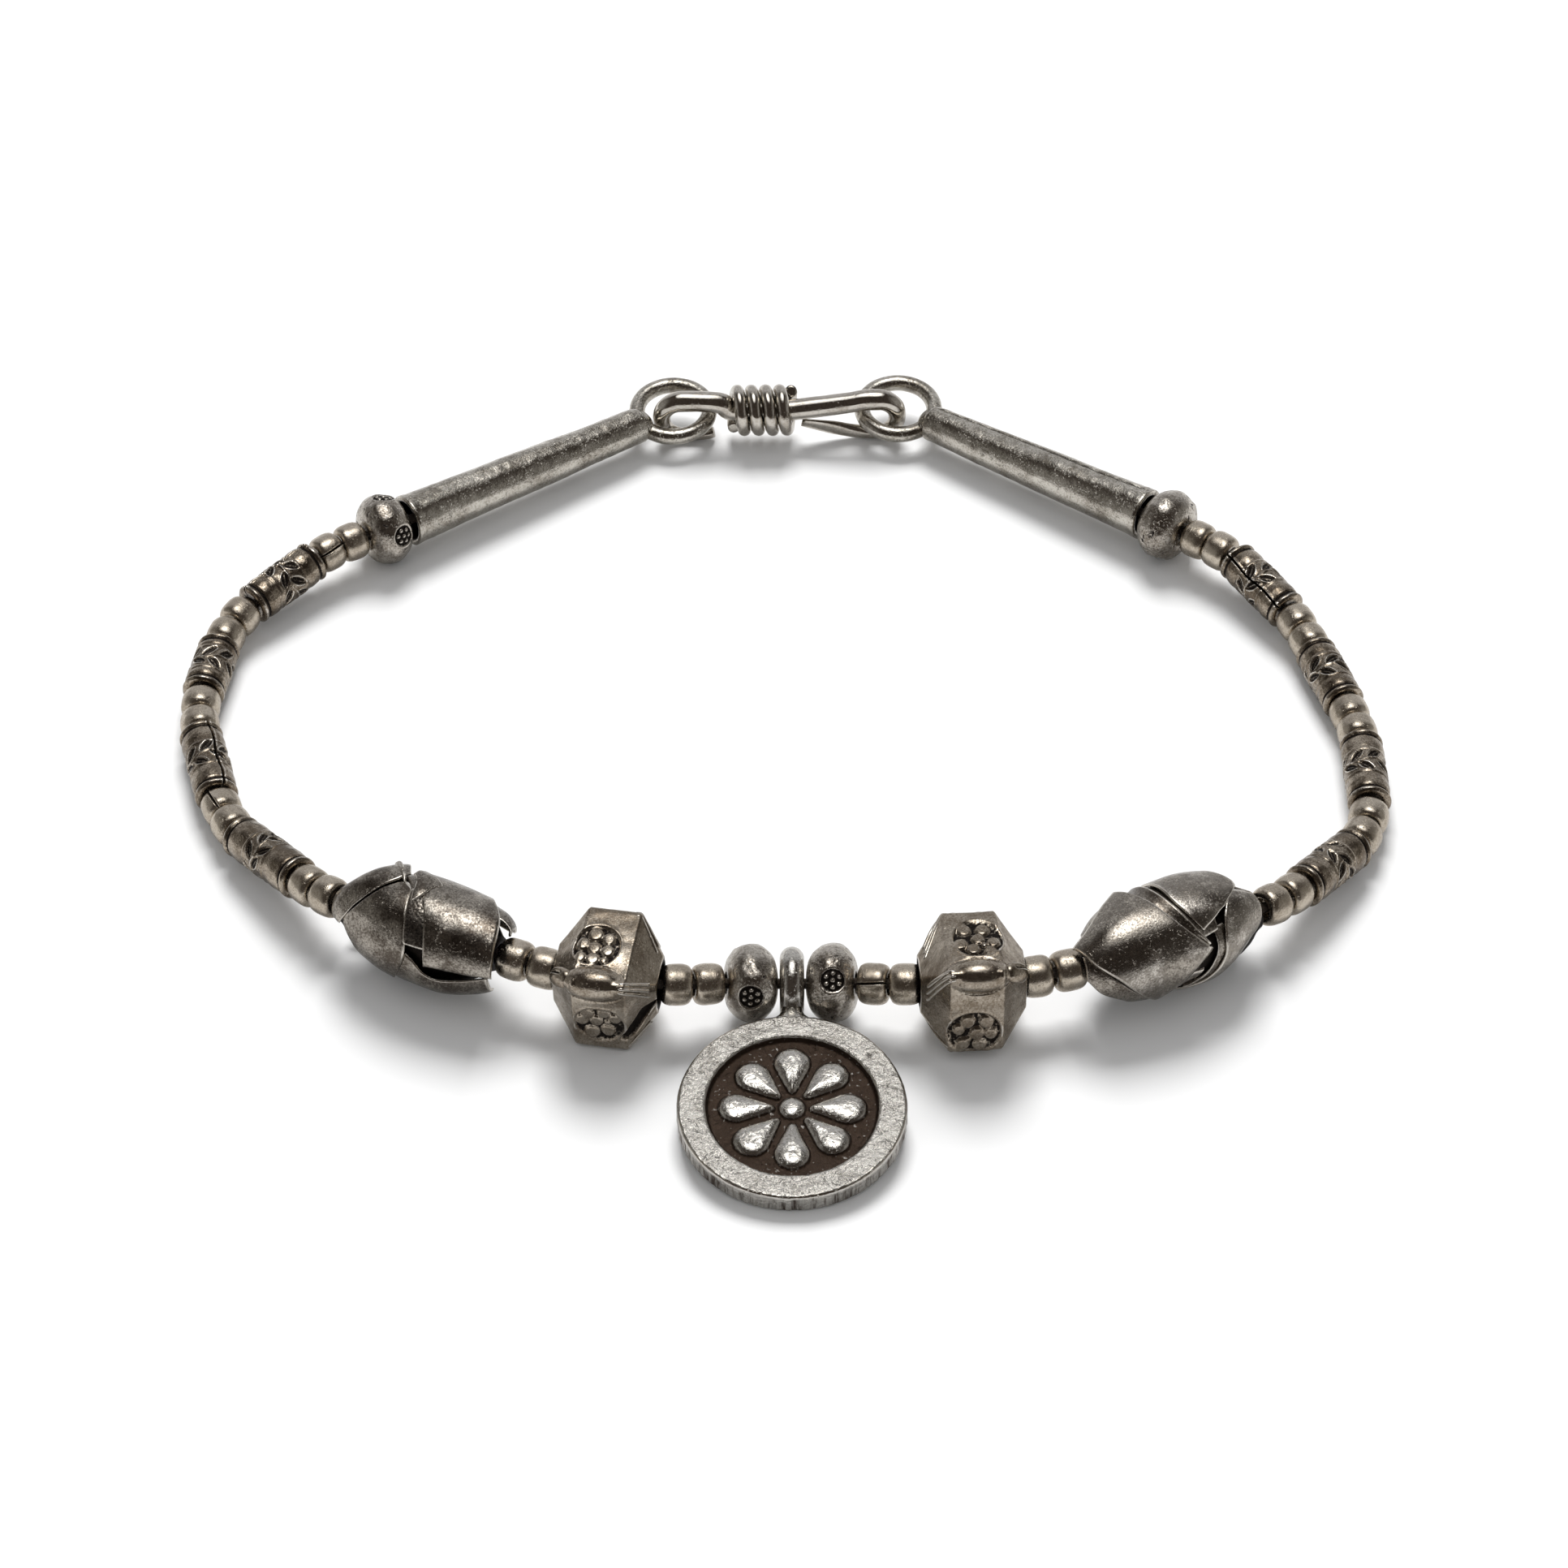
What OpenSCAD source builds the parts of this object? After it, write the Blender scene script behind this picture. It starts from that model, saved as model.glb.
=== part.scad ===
// Silver bracelet of beads on a thread, with a round medallion at the front and a hook clasp at the back.
// It lies on a table: X runs along the front, Y points to the clasp, Z is up, and Z = 0 is the table.

/* [String] */
// Clear space between neighbouring beads, on the inside of the bend
bead_gap = 0.14; // [0.1:0.02:0.2]
// Diameter of the stringing thread
thread_d = 0.6; // [0.4:0.1:0.7]
// Diameter of the drilled hole in every bead
bead_bore_d = 1.3; // [1.1:0.1:1.4]
// Height of the thread where it passes through the bail
bail_height = 2.4; // [2.4:0.05:2.6]

/* [Beads] */
// Largest diameter of a spacer bead
spacer_d = 2.4; // [2.2:0.1:2.6]
// Largest diameter of a round bead
round_d = 4.5; // [4.2:0.1:4.6]
// Diameter of a roundel stamped on a round bead
roundel_d = 1.45; // [1.2:0.05:1.5]
// Diameter of an engraved tube over its collars
tube_d = 2.64; // [2.5:0.02:2.64]
// Width across two opposite faces of a faceted bead
faceted_width = 5.84; // [5.6:0.02:5.84]
// Length of the flat middle of a faceted bead
faceted_flat = 2.9; // [2.6:0.1:3.1]
// Width of a woven bead at its middle, under the upper strips
woven_width = 5.6; // [5:0.1:5.6]
// How far the upper strips of a woven bead stand up
strip_swell = 0.45; // [0.3:0.05:0.45]

/* [Medallion] */
// Diameter of the disc
disc_d = 12.5; // [12:0.1:12.6]
// Thickness of the disc at its rim
disc_thick = 1.3; // [1.2:0.05:1.35]
// Diameter of the sunken field inside the rim
field_d = 9.8; // [9.4:0.1:10]
// Depth of the sunken field
field_deep = 0.45; // [0.35:0.05:0.5]
// Number of petals
petals = 8; // [6:1:8]
// Outer diameter of the bail
bail_d = 4.3; // [4.1:0.1:4.4]
// Diameter of the bail's wire
bail_wire_d = 1.4; // [1.25:0.05:1.4]
// Distance from the centre of the disc to the centre of the bail
bail_reach = 9.1; // [9:0.1:9.2]
// How far the disc leans up towards the thread, in degrees
disc_lean = 6.5; // [6:0.1:6.5]

/* [Clasp] */
// Diameter of an end tube where it meets the round bead
end_tube_wide_d = 3.3; // [3.1:0.1:3.5]
// Diameter of an end tube where the ring is soldered on
end_tube_narrow_d = 2.3; // [2.2:0.1:2.4]
// Outer diameter of the ring
ring_d = 5.8; // [5.7:0.05:5.9]
// Diameter of the ring's wire
ring_wire_d = 1.05; // [1:0.05:1.1]
// Diameter of the link's wire along its upper side
link_wire_d = 1.4; // [1.3:0.05:1.4]
// Diameter of the link's wire at its two tips
link_tip_d = 0.7; // [0.6:0.05:0.8]
// Diameter of the wrapping wire
wrap_wire_d = 0.85; // [0.75:0.05:0.85]
// Number of turns in the wrap
wrap_turns = 4.4; // [4:0.1:4.5]

/* [Hidden] */
// Place of the bail on the table
bail_at = [0.775, -21.185];

// Columns of the two string tables
KIND = 0;
LEN = 1;
HEADING = 2;
ROLL = 3;

// From the bail outwards: what it is, its length, the direction that it points away from the
// front line in degrees, and how far it is turned on the thread in degrees
LEFT = [
    ["round_bead", 2.85, -7, 8],
    ["spacer_bead", 1.6, -12, 0],
    ["spacer_bead", 1.6, -7, 0],
    ["faceted_bead", 5.2, 10, -98],
    ["spacer_bead", 1.65, 19, 0],
    ["spacer_bead", 1.65, 24, 0],
    ["woven_bead", 10.1, 24.5, 0],
    ["spacer_bead", 1.55, 40, 0],
    ["spacer_bead", 1.55, 48, 0],
    ["engraved_tube", 6.4, 51, 150],
    ["spacer_bead", 1.55, 61, 0],
    ["spacer_bead", 1.55, 68, 20],
    ["engraved_tube", 5.8, 75, 25],
    ["spacer_bead", 1.55, 82, 0],
    ["spacer_bead", 1.55, 89, 0],
    ["engraved_tube", 4.4, 98, 200],
    ["spacer_bead", 1.55, 107, 0],
    ["spacer_bead", 1.55, 119, 0],
    ["engraved_tube", 5.3, 133, 40],
    ["spacer_bead", 1.55, 141, 50],
    ["spacer_bead", 1.55, 146, 0],
    ["round_bead", 2.9, 148, 20],
    ["end_tube", 18.1, 144, 0]
];
RIGHT = [
    ["round_bead", 2.75, -7, -20],
    ["spacer_bead", 1.6, -11, -70],
    ["spacer_bead", 1.6, -6, 0],
    ["faceted_bead", 5.2, 4, -4.5],
    ["spacer_bead", 1.65, 11, 0],
    ["spacer_bead", 1.65, 19, 0],
    ["woven_bead", 11.1, 24.5, 0],
    ["spacer_bead", 1.55, 38, 0],
    ["spacer_bead", 1.55, 47, 0],
    ["engraved_tube", 5.7, 52, 200],
    ["spacer_bead", 1.55, 63, 0],
    ["spacer_bead", 1.55, 77, 0],
    ["engraved_tube", 5.5, 90, 160],
    ["spacer_bead", 1.55, 98, 0],
    ["spacer_bead", 1.55, 102, 0],
    ["engraved_tube", 5, 106, 170],
    ["spacer_bead", 1.55, 110, 0],
    ["spacer_bead", 1.55, 113, 0],
    ["engraved_tube", 5.4, 123, -45],
    ["spacer_bead", 1.55, 139, 0],
    ["spacer_bead", 1.55, 142, 0],
    ["round_bead", 2.9, 139, 0],
    ["end_tube", 17, 143, 0]
];

// Height of the thread's centre over the table, by the distance along the string from the bail
THREAD_HEIGHT = [
    [0, bail_height], [7.5, 3.3], [27.5, 3.3], [38, 1.5], [41, 1.33],
    [56, 1.33], [66.5, 2.29], [70, 2.29], [88, 1.8]
];

// Radius of the flat end of each kind of bead, which sets how tightly two of them can bend
END_RADIUS = [
    ["round_bead", 1.1], ["spacer_bead", 0.9], ["faceted_bead", 1.2], ["woven_bead", 1.6],
    ["engraved_tube", 1.18], ["end_tube", 1.5]
];
function end_radius(kind) = END_RADIUS[search([kind], END_RADIUS)[0]][1];

// The string as a walk from the bail: the space before a bead, and where each bead starts
first_gap = bail_wire_d / 2 + bead_gap + 0.11;
function space_before(rows, i) =
    i == 0
        ? first_gap
        : bead_gap + (end_radius(rows[i - 1][KIND]) + end_radius(rows[i][KIND]))
            * tan(abs(rows[i][HEADING] - rows[i - 1][HEADING]) / 2);
function heading_way(rows, i, side) = [side * cos(rows[i][HEADING]), sin(rows[i][HEADING])];
function distance_to(rows, i) =
    i < 0 ? 0 : (i == 0 ? 0 : distance_to(rows, i - 1) + rows[i - 1][LEN]) + space_before(rows, i);
function plan_start(rows, i, side) =
    (i == 0 ? bail_at : plan_end(rows, i - 1, side))
        + (i == 0 ? [side, 0] : heading_way(rows, i, side)) * space_before(rows, i);
function plan_end(rows, i, side) =
    plan_start(rows, i, side) + heading_way(rows, i, side) * rows[i][LEN];
function thread_height(distance) = lookup(distance, THREAD_HEIGHT);
function bead_start(rows, i, side) =
    concat(plan_start(rows, i, side), [thread_height(distance_to(rows, i))]);
function bead_rise(rows, i) =
    asin((thread_height(distance_to(rows, i) + rows[i][LEN]) - thread_height(distance_to(rows, i)))
        / rows[i][LEN]);
function bead_yaw(rows, i, side) = side > 0 ? rows[i][HEADING] : 180 - rows[i][HEADING];
function bead_way(rows, i, side) =
    let (rise = bead_rise(rows, i))
        concat(heading_way(rows, i, side) * cos(rise), [sin(rise)]);
function on_thread(rows, i, side, share) =
    bead_start(rows, i, side) + bead_way(rows, i, side) * rows[i][LEN] * share;

// Names, counted from the bail along the left side and then along the right side
function count_before(rows, i) = len([for (j = [0 : 1 : i - 1]) if (rows[j][KIND] == rows[i][KIND]) j]);
function count_of(rows, kind) = len([for (row = rows) if (row[KIND] == kind) row]);
function bead_name(rows, i) =
    str(rows[i][KIND], "_", 1 + count_before(rows, i)
        + (rows == LEFT ? 0 : count_of(LEFT, rows[i][KIND])));
LEFT_NAMES = [for (i = [0 : len(LEFT) - 1]) bead_name(LEFT, i)];
RIGHT_NAMES = [for (i = [0 : len(RIGHT) - 1]) bead_name(RIGHT, i)];

module placed(rows, i, side) {
    translate(bead_start(rows, i, side))
        rotate([0, 0, bead_yaw(rows, i, side)])
            rotate([0, -bead_rise(rows, i), 0])
                rotate([rows[i][ROLL], 0, 0])
                    children();
}

// A revolved shape whose profile gives [radius, distance along the thread]
module turned(profile) {
    rotate([90, 0, 90])
        rotate_extrude($fn = 48)
            polygon(profile);
}

// Spacer bead: a small barrel with rounded shoulders
BARREL = [[0, 0.72], [0.1, 0.9], [0.28, 0.98], [0.5, 1], [0.72, 0.98], [0.9, 0.9], [1, 0.72]];
module spacer_bead(length) {
    color("#b9b1a2")
        turned(concat(
            [for (p = BARREL) [p[1] * spacer_d / 2, p[0] * length]],
            [[bead_bore_d / 2, length], [bead_bore_d / 2, 0]]));
}

// Round bead: a ring-shaped bead with roundels of dots stamped round its girth
roundels = 5;
roundel_deep = 0.12;
roundel_dot_d = 0.3;
module round_bead(length) {
    tube_r = length / 2;
    color("#8f887b")
        translate([length / 2, 0, 0])
            difference() {
                rotate([90, 0, 90])
                    rotate_extrude($fn = 64)
                        difference() {
                            translate([round_d / 2 - tube_r, 0]) circle(r = tube_r, $fn = 48);
                            translate([bead_bore_d / 2 - 4, -4]) square([4, 8]);
                        }
                for (k = [0 : roundels - 1])
                    rotate([k * 360 / roundels, 0, 0])
                        translate([0, 0, round_d / 2 - roundel_deep])
                            roundel_cut();
            }
}
module roundel_cut() {
    difference() {
        cylinder(d = roundel_d, h = 1, $fn = 32);
        for (k = [0 : 6])
            translate(k == 0 ? [0, 0, -1] : [cos(k * 60) * 0.45, sin(k * 60) * 0.45, -1])
                cylinder(d = roundel_dot_d, h = 1.08, $fn = 24);
    }
}

// Engraved tube: a rolled tube with a ridge and a groove at each end and an open seam
collar_long = 0.42;
groove_deep = 0.1;
seam_wide = 0.14;
seam_deep = 0.3;
module engraved_tube(length) {
    r = tube_d / 2;
    low = r - groove_deep;
    half = [
        [r - 0.14, 0], [r, 0.1], [r, collar_long - 0.08], [low, collar_long],
        [low, collar_long + 0.12], [r - 0.03, collar_long + 0.2], [r - 0.03, length * 0.27],
        [low, length * 0.27 + 0.06], [low, length * 0.27 + 0.14], [r, length * 0.27 + 0.22]
    ];
    mirrored = [for (k = [len(half) - 1 : -1 : 0]) [half[k][0], length - half[k][1]]];
    color("#6f685c")
        difference() {
            turned(concat(half, mirrored, [[bead_bore_d / 2, length], [bead_bore_d / 2, 0]]));
            translate([-1, -seam_wide / 2, r - seam_deep])
                cube([length + 2, seam_wide, 1]);
        }
}

// A closed skin over rings of points that all have the same count, with a flat cap at each end
function skin_faces(rings, sides) = concat(
    [[for (k = [0 : sides - 1]) k]],
    [for (i = [0 : rings - 2]) for (k = [0 : sides - 1]) let (n = (k + 1) % sides)
        each [
            [i * sides + k, (i + 1) * sides + k, (i + 1) * sides + n],
            [i * sides + k, (i + 1) * sides + n, i * sides + n]
        ]],
    [[for (k = [sides - 1 : -1 : 0]) (rings - 1) * sides + k]]);
module skin(rings) {
    polyhedron([for (ring = rings) each ring], skin_faces(len(rings), len(rings[0])), 6);
}

// Faceted bead: a square box with a flat middle, with a rounded ridge along two opposite long edges
faceted_end = 2.5;
ridge_r = 0.95;
// How far the ridges lie from the middle of the bead, away from the bail
ridge_shift = 0.4;
corner_cut = 0.55;
function cut_square(width, cut, x) = let (h = width / 2)
    [for (q = [0 : 3]) each [
        [x, (h - cut) * cos(q * 90) - h * sin(q * 90), (h - cut) * sin(q * 90) + h * cos(q * 90)],
        [x, h * -sin(q * 90) - (h - cut) * cos(q * 90), h * cos(q * 90) - (h - cut) * sin(q * 90)]
    ]];
module faceted_bead(length) {
    flat_from = (length - faceted_flat) / 2;
    corner_r = faceted_width / 2 * sqrt(2);
    color("#8d867a")
        difference() {
            union() {
                skin([
                    cut_square(faceted_end, 0.3, 0),
                    cut_square(faceted_width, corner_cut, flat_from),
                    cut_square(faceted_width, corner_cut, length - flat_from),
                    cut_square(faceted_end, 0.3, length)
                ]);
                for (q = [0, 2])
                    rotate([45 + q * 90, 0, 0])
                        translate([length / 2 + ridge_shift, 0, corner_r - ridge_r - 0.1])
                            ridge();
                for (q = [0 : 3])
                    rotate([45 + q * 90, 0, 0])
                        for (s = [-1, 1])
                            translate([length / 2, 0, 0])
                                scale([s, 1, 1])
                                    seam_tab(length);
            }
            translate([-1, 0, 0]) rotate([0, 90, 0]) cylinder(d = bead_bore_d, h = length + 2, $fn = 32);
            for (q = [0 : 3])
                rotate([q * 90, 0, 0])
                    translate([length / 2, 0, faceted_width / 2 - 0.15])
                        dotted_field();
        }
}
module ridge() {
    ridge_steps = 8;
    turned(concat(
        [for (k = [0 : ridge_steps]) let (a = -90 + 180 * k / ridge_steps)
            [ridge_r * pow(cos(a), 0.7), faceted_flat / 2 * sin(a)]]));
}
module seam_tab(length) {
    slope = atan((faceted_width - faceted_end) / 2 * sqrt(2) / ((length - faceted_flat) / 2));
    translate([faceted_flat / 2 - 0.1, 0, faceted_width / 2 * sqrt(2) - 0.55])
        rotate([0, slope, 0])
            translate([0, -0.38, -0.35])
                cube([1.9, 0.76, 0.55]);
}
// The cut for one stamped field, which leaves seven dots standing
field_r = 1.2;
module dotted_field() {
    difference() {
        intersection() {
            cylinder(r = field_r, h = 1, $fn = 40);
            translate([-2, -0.95, -1]) cube([4, 4, 3]);
        }
        for (k = [0 : 6])
            translate(k == 0 ? [0, 0.1, -1] : [cos(k * 60) * 0.68, 0.1 + sin(k * 60) * 0.68, -1])
                cylinder(d = 0.5, h = 1.12, $fn = 20);
    }
}

// Woven bead: two sets of flat strips that cross over and under each other round a spindle
woven_rows = 28;
woven_sides = 36;
strips_round = 3;
crossings_long = 14 / 12;
woven_end_r = 1.15;
function woven_body(t) =
    woven_end_r + (woven_width / 2 - woven_end_r) * pow(sin(180 * t), 0.62);
function part_of(a) = a - floor(a);
function arch(f) = 1 - pow(abs(2 * f - 1), 3);
// Height of the upper strip: one set is on top where the two strip numbers add up to an even one
function strip_level(a, b) = (floor(a) + floor(b)) % 2 == 0 ? arch(part_of(b)) : arch(part_of(a));
function woven_radius(t, turn) =
    let (round = strips_round * turn / 360, long = (t - 0.5) * crossings_long)
        woven_body(t) + strip_swell * pow(sin(180 * t), 0.5)
            * strip_level(round + long + 0.01, round - long + 0.02);
module woven_bead(length) {
    color("#77716a")
        difference() {
            skin([for (i = [0 : woven_rows]) let (t = i / woven_rows)
                [for (k = [0 : woven_sides - 1])
                    let (turn = k * 360 / woven_sides, r = woven_radius(t, turn))
                        [t * length, r * cos(turn), r * sin(turn)]]]);
            translate([-1, 0, 0]) rotate([0, 90, 0]) cylinder(d = bead_bore_d, h = length + 2, $fn = 32);
        }
}

// End tube: a long tapering tube, open at the wide end, with a wire ring soldered across the other
end_tube_wall = 0.4;
ring_mean_r = (ring_d - ring_wire_d) / 2;
ring_beyond = 2.6;
ring_tilt = 8;
module end_tube(rows, side) {
    i = len(rows) - 1;
    length = rows[i][LEN];
    wide_r = end_tube_wide_d / 2;
    narrow_r = end_tube_narrow_d / 2;
    color("#958f83") {
        placed(rows, i, side)
            turned([
                [wide_r - 0.12, 0], [wide_r, 0.12], [narrow_r, length - 0.1],
                [narrow_r - 0.12, length], [0, length], [0, length - 1.6],
                [narrow_r - end_tube_wall, length - 1.8], [wide_r - end_tube_wall, 0]
            ]);
        translate(ring_centre(rows, side))
            rotate([ring_tilt, 0, 0])
                rotate_extrude($fn = 64)
                    translate([ring_mean_r, 0]) circle(d = ring_wire_d, $fn = 32);
    }
}
function ring_centre(rows, side) =
    let (i = len(rows) - 1)
        on_thread(rows, i, side, 1) + bead_way(rows, i, side) * ring_beyond;

// Clasp link: one wire in an upright plane, bent down through both rings and back underneath
link_left = ring_centre(LEFT, -1);
link_right = ring_centre(RIGHT, 1);
link_front = 0.85;
link_yaw = atan2(link_right[1] - link_left[1], link_right[0] - link_left[0]);
link_top = 3.14;
link_low = 0.47;
link_middle = 2.35;
link_middle_at = -1.1;
bend_r = (link_top - link_low) / 2;
left_bend_at = link_left[0] + 0.6;
right_bend_at = link_right[0] - 1.4;
bend_steps = 10;
function bend(centre_x, from, to) = [for (k = [0 : bend_steps])
    let (a = from + (to - from) * k / bend_steps, share = k / bend_steps)
        [centre_x + bend_r * cos(a), link_low + bend_r + bend_r * sin(a)]];
// Middle line of the wire from the left tip to the right tip, as [x, height, diameter]
LINK_WIRE = concat(
    [[link_middle_at - 2.65, 0.8, link_tip_d], [link_middle_at - 3.3, 0.54, 0.78],
        [left_bend_at + 0.9, link_low + 0.01, 0.88]],
    [for (k = [0 : bend_steps]) let (p = bend(left_bend_at, 270, 90)[k])
        [p[0], p[1], 0.9 + (link_wire_d - 0.9) * k / bend_steps]],
    [[left_bend_at + 1.4, link_top - 0.02, link_wire_d], [left_bend_at + 2.6, link_top - 0.2, link_wire_d],
        [link_middle_at - 2, link_middle + 0.06, link_wire_d], [link_middle_at, link_middle, link_wire_d],
        [link_middle_at + 2, link_middle + 0.04, link_wire_d],
        [right_bend_at - 2, link_top - 0.25, link_wire_d], [right_bend_at - 0.9, link_top - 0.04, link_wire_d]],
    [for (k = [0 : bend_steps]) let (p = bend(right_bend_at, 90, -90)[k])
        [p[0], p[1], link_wire_d + (0.9 - link_wire_d) * k / bend_steps]],
    [[right_bend_at - 1.2, link_low + 0.01, 0.85], [right_bend_at - 2.8, link_low + 0.1, 0.75],
        [link_middle_at + 2.6, link_low + 0.3, 0.45]]);
link_sides = 12;
function unit(v) = v / norm(v);
function along(points, i) =
    unit(points[min(i + 1, len(points) - 1)] - points[max(i - 1, 0)]);
module on_link() {
    translate([0, link_left[1] - link_front, 0])
        translate([link_left[0], 0, 0])
            rotate([0, 0, link_yaw])
                translate([-link_left[0], 0, 0])
                    children();
}
module clasp_link() {
    line = [for (p = LINK_WIRE) [p[0], p[1]]];
    color("#a8a296")
        on_link()
            skin([for (i = [0 : len(line) - 1])
                let (d = along(line, i), r = LINK_WIRE[i][2] / 2)
                    [for (k = [0 : link_sides - 1]) let (a = -k * 360 / link_sides)
                        [line[i][0] - d[1] * r * cos(a), r * sin(a), line[i][1] + d[0] * r * cos(a)]]]);
}

// Clasp wrap: a coil of thinner wire wound round the middle of the link
wrap_r = link_wire_d / 2 + 0.15 + wrap_wire_d / 2;
wrap_pitch = wrap_wire_d + 0.08;
wrap_steps = 14;
wrap_sides = 6;
module clasp_wrap() {
    rings = ceil(wrap_turns * wrap_steps);
    slope = atan(wrap_pitch / (2 * PI * wrap_r));
    color("#aaa498")
        on_link()
            translate([link_middle_at - wrap_pitch * wrap_turns / 2, 0, link_middle + 0.02])
                skin([for (i = [0 : rings])
                    let (a = i * 360 / wrap_steps - 100)
                        [for (k = [0 : wrap_sides - 1])
                            let (b = -k * 360 / wrap_sides, out = wrap_wire_d / 2 * cos(b),
                                up = wrap_wire_d / 2 * sin(b))
                                [
                                    i / wrap_steps * wrap_pitch + up * cos(slope),
                                    (wrap_r + out) * cos(a) + up * sin(slope) * sin(a),
                                    (wrap_r + out) * sin(a) - up * sin(slope) * cos(a)
                                ]]]);
}

// Medallion: a cast disc with a raised rim, a flower in the sunken field, and its bail
petal_in = 1.25;
petal_long = 2.95;
petal_wide = 2.0;
petal_high = 0.38;
petal_sides = 14;
boss_r = 0.78;
module petal() {
    levels = [[1, -0.2], [1, 0.12], [0.86, 0.28], [0.55, petal_high]];
    skin([for (level = levels)
        [for (k = [0 : petal_sides - 1])
            let (a = -k * 360 / petal_sides, p = petal_outline(a))
                [petal_mid + (p[0] - petal_mid) * level[0], p[1] * level[0], level[1]]]]);
}
petal_mid = petal_in + petal_long * 0.62;
function petal_outline(a) =
    let (x = (1 - cos(a)) / 2, narrow = pow(x, 0.85))
        [petal_in + petal_long * x, petal_wide / 2 * sin(a) * (0.18 + 0.95 * narrow)];
module medallion() {
    floor_z = disc_thick - field_deep;
    color("#b5afa3")
        translate([bail_at[0], bail_at[1], bail_height])
            rotate([disc_lean, 0, 0])
                translate([0, -bail_reach, -disc_thick / 2]) {
                    rotate_extrude($fn = 96)
                        polygon([
                            [0, 0], [disc_d / 2 - 0.12, 0], [disc_d / 2, 0.12],
                            [disc_d / 2, disc_thick - 0.15], [disc_d / 2 - 0.05, disc_thick - 0.05],
                            [disc_d / 2 - 0.18, disc_thick], [field_d / 2 + 0.12, disc_thick],
                            [field_d / 2, disc_thick - 0.1], [field_d / 2 - 0.1, floor_z], [0, floor_z]
                        ]);
                    for (k = [0 : petals - 1])
                        rotate([0, 0, 90 + k * 360 / petals])
                            translate([0, 0, floor_z]) petal();
                    translate([0, 0, floor_z - 0.25]) intersection() {
                        sphere(r = boss_r, $fn = 40);
                        translate([-1, -1, 0]) cube([2, 2, 1]);
                    }
                    translate([0, bail_reach, disc_thick / 2])
                        rotate([0, 90, 0])
                            rotate_extrude($fn = 64)
                                translate([(bail_d - bail_wire_d) / 2, 0])
                                    circle(d = bail_wire_d, $fn = 32);
                    translate([0, 0, disc_thick / 2 - 0.5])
                        linear_extrude(height = 1)
                            polygon([
                                [-1.35, disc_d / 2 - 0.3], [1.35, disc_d / 2 - 0.3],
                                [0.75, disc_d / 2 + 0.3], [0.5, disc_d / 2 + 0.7],
                                [0.45, disc_d / 2 + 1.1], [-0.45, disc_d / 2 + 1.1],
                                [-0.5, disc_d / 2 + 0.7], [-0.75, disc_d / 2 + 0.3]
                            ]);
                }
}

// Thread: it runs through every bead and ends inside the two end tubes
thread_sides = 8;
function side_points(rows, side) = [for (i = [0 : len(rows) - 1])
    each (rows[i][KIND] == "end_tube"
        ? [on_thread(rows, i, side, 0.04), on_thread(rows, i, side, 0.3)]
        : rows[i][LEN] < 4
            ? [on_thread(rows, i, side, 0.5)]
            : [on_thread(rows, i, side, 0.04), on_thread(rows, i, side, 0.96)])];
left_points = side_points(LEFT, -1);
THREAD_LINE = concat(
    [for (i = [len(left_points) - 1 : -1 : 0]) left_points[i]],
    [[bail_at[0], bail_at[1], bail_height]],
    side_points(RIGHT, 1));
module thread() {
    color("#d9d2c0")
        skin([for (i = [0 : len(THREAD_LINE) - 1])
            let (d = along(THREAD_LINE, i), flat = unit([-d[1], d[0], 0]), up = cross(d, flat))
                [for (k = [0 : thread_sides - 1]) let (a = k * 360 / thread_sides)
                    THREAD_LINE[i] + (flat * cos(a) + up * sin(a)) * thread_d / 2]]);
}

module bead(rows, i, side) {
    kind = rows[i][KIND];
    length = rows[i][LEN];
    if (kind == "end_tube") end_tube(rows, side);
    else
        placed(rows, i, side) {
            if (kind == "spacer_bead") spacer_bead(length);
            if (kind == "round_bead") round_bead(length);
            if (kind == "engraved_tube") engraved_tube(length);
            if (kind == "faceted_bead") faceted_bead(length);
            if (kind == "woven_bead") woven_bead(length);
        }
}

medallion();
for (i = [0 : len(LEFT) - 1])
    bead(LEFT, i, -1);
for (i = [0 : len(RIGHT) - 1])
    bead(RIGHT, i, 1);
clasp_link();
clasp_wrap();
thread();
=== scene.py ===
"""The looks of a silver bead bracelet with a flower medallion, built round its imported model."""

import math

import bpy
import numpy as np
from mathutils import Matrix, Vector


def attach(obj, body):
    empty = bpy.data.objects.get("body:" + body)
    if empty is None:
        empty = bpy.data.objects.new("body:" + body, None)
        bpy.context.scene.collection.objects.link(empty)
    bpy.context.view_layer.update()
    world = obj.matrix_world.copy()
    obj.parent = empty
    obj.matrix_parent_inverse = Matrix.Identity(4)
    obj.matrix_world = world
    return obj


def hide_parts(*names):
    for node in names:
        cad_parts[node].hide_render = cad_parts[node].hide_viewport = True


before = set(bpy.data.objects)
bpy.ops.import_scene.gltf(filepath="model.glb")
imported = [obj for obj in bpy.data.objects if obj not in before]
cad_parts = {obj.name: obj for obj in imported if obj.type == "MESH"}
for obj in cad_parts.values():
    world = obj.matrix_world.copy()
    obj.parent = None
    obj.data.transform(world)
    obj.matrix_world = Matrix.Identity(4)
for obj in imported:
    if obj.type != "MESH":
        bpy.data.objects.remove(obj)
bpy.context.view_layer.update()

# Sizes are in millimetres, and the meshes shrink to metres when they are placed
MM = 0.001
BAIL_AT = (0.775, -21.185)
BAIL_HEIGHT = 2.4
BEAD_GAP = 0.14
FIRST_GAP = 0.95
BORE_R = 0.65
SPACER_R = 1.2
ROUND_R = 2.25
TUBE_R = 1.32
BOX_HALF = 2.92
DISC_R = 6.41
DISC_THICK = 1.3
DISC_LEAN = 6.5
BAIL_REACH = 9.1
CONE_WIDE_R = 1.65
CONE_NARROW_R = 1.15
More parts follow.
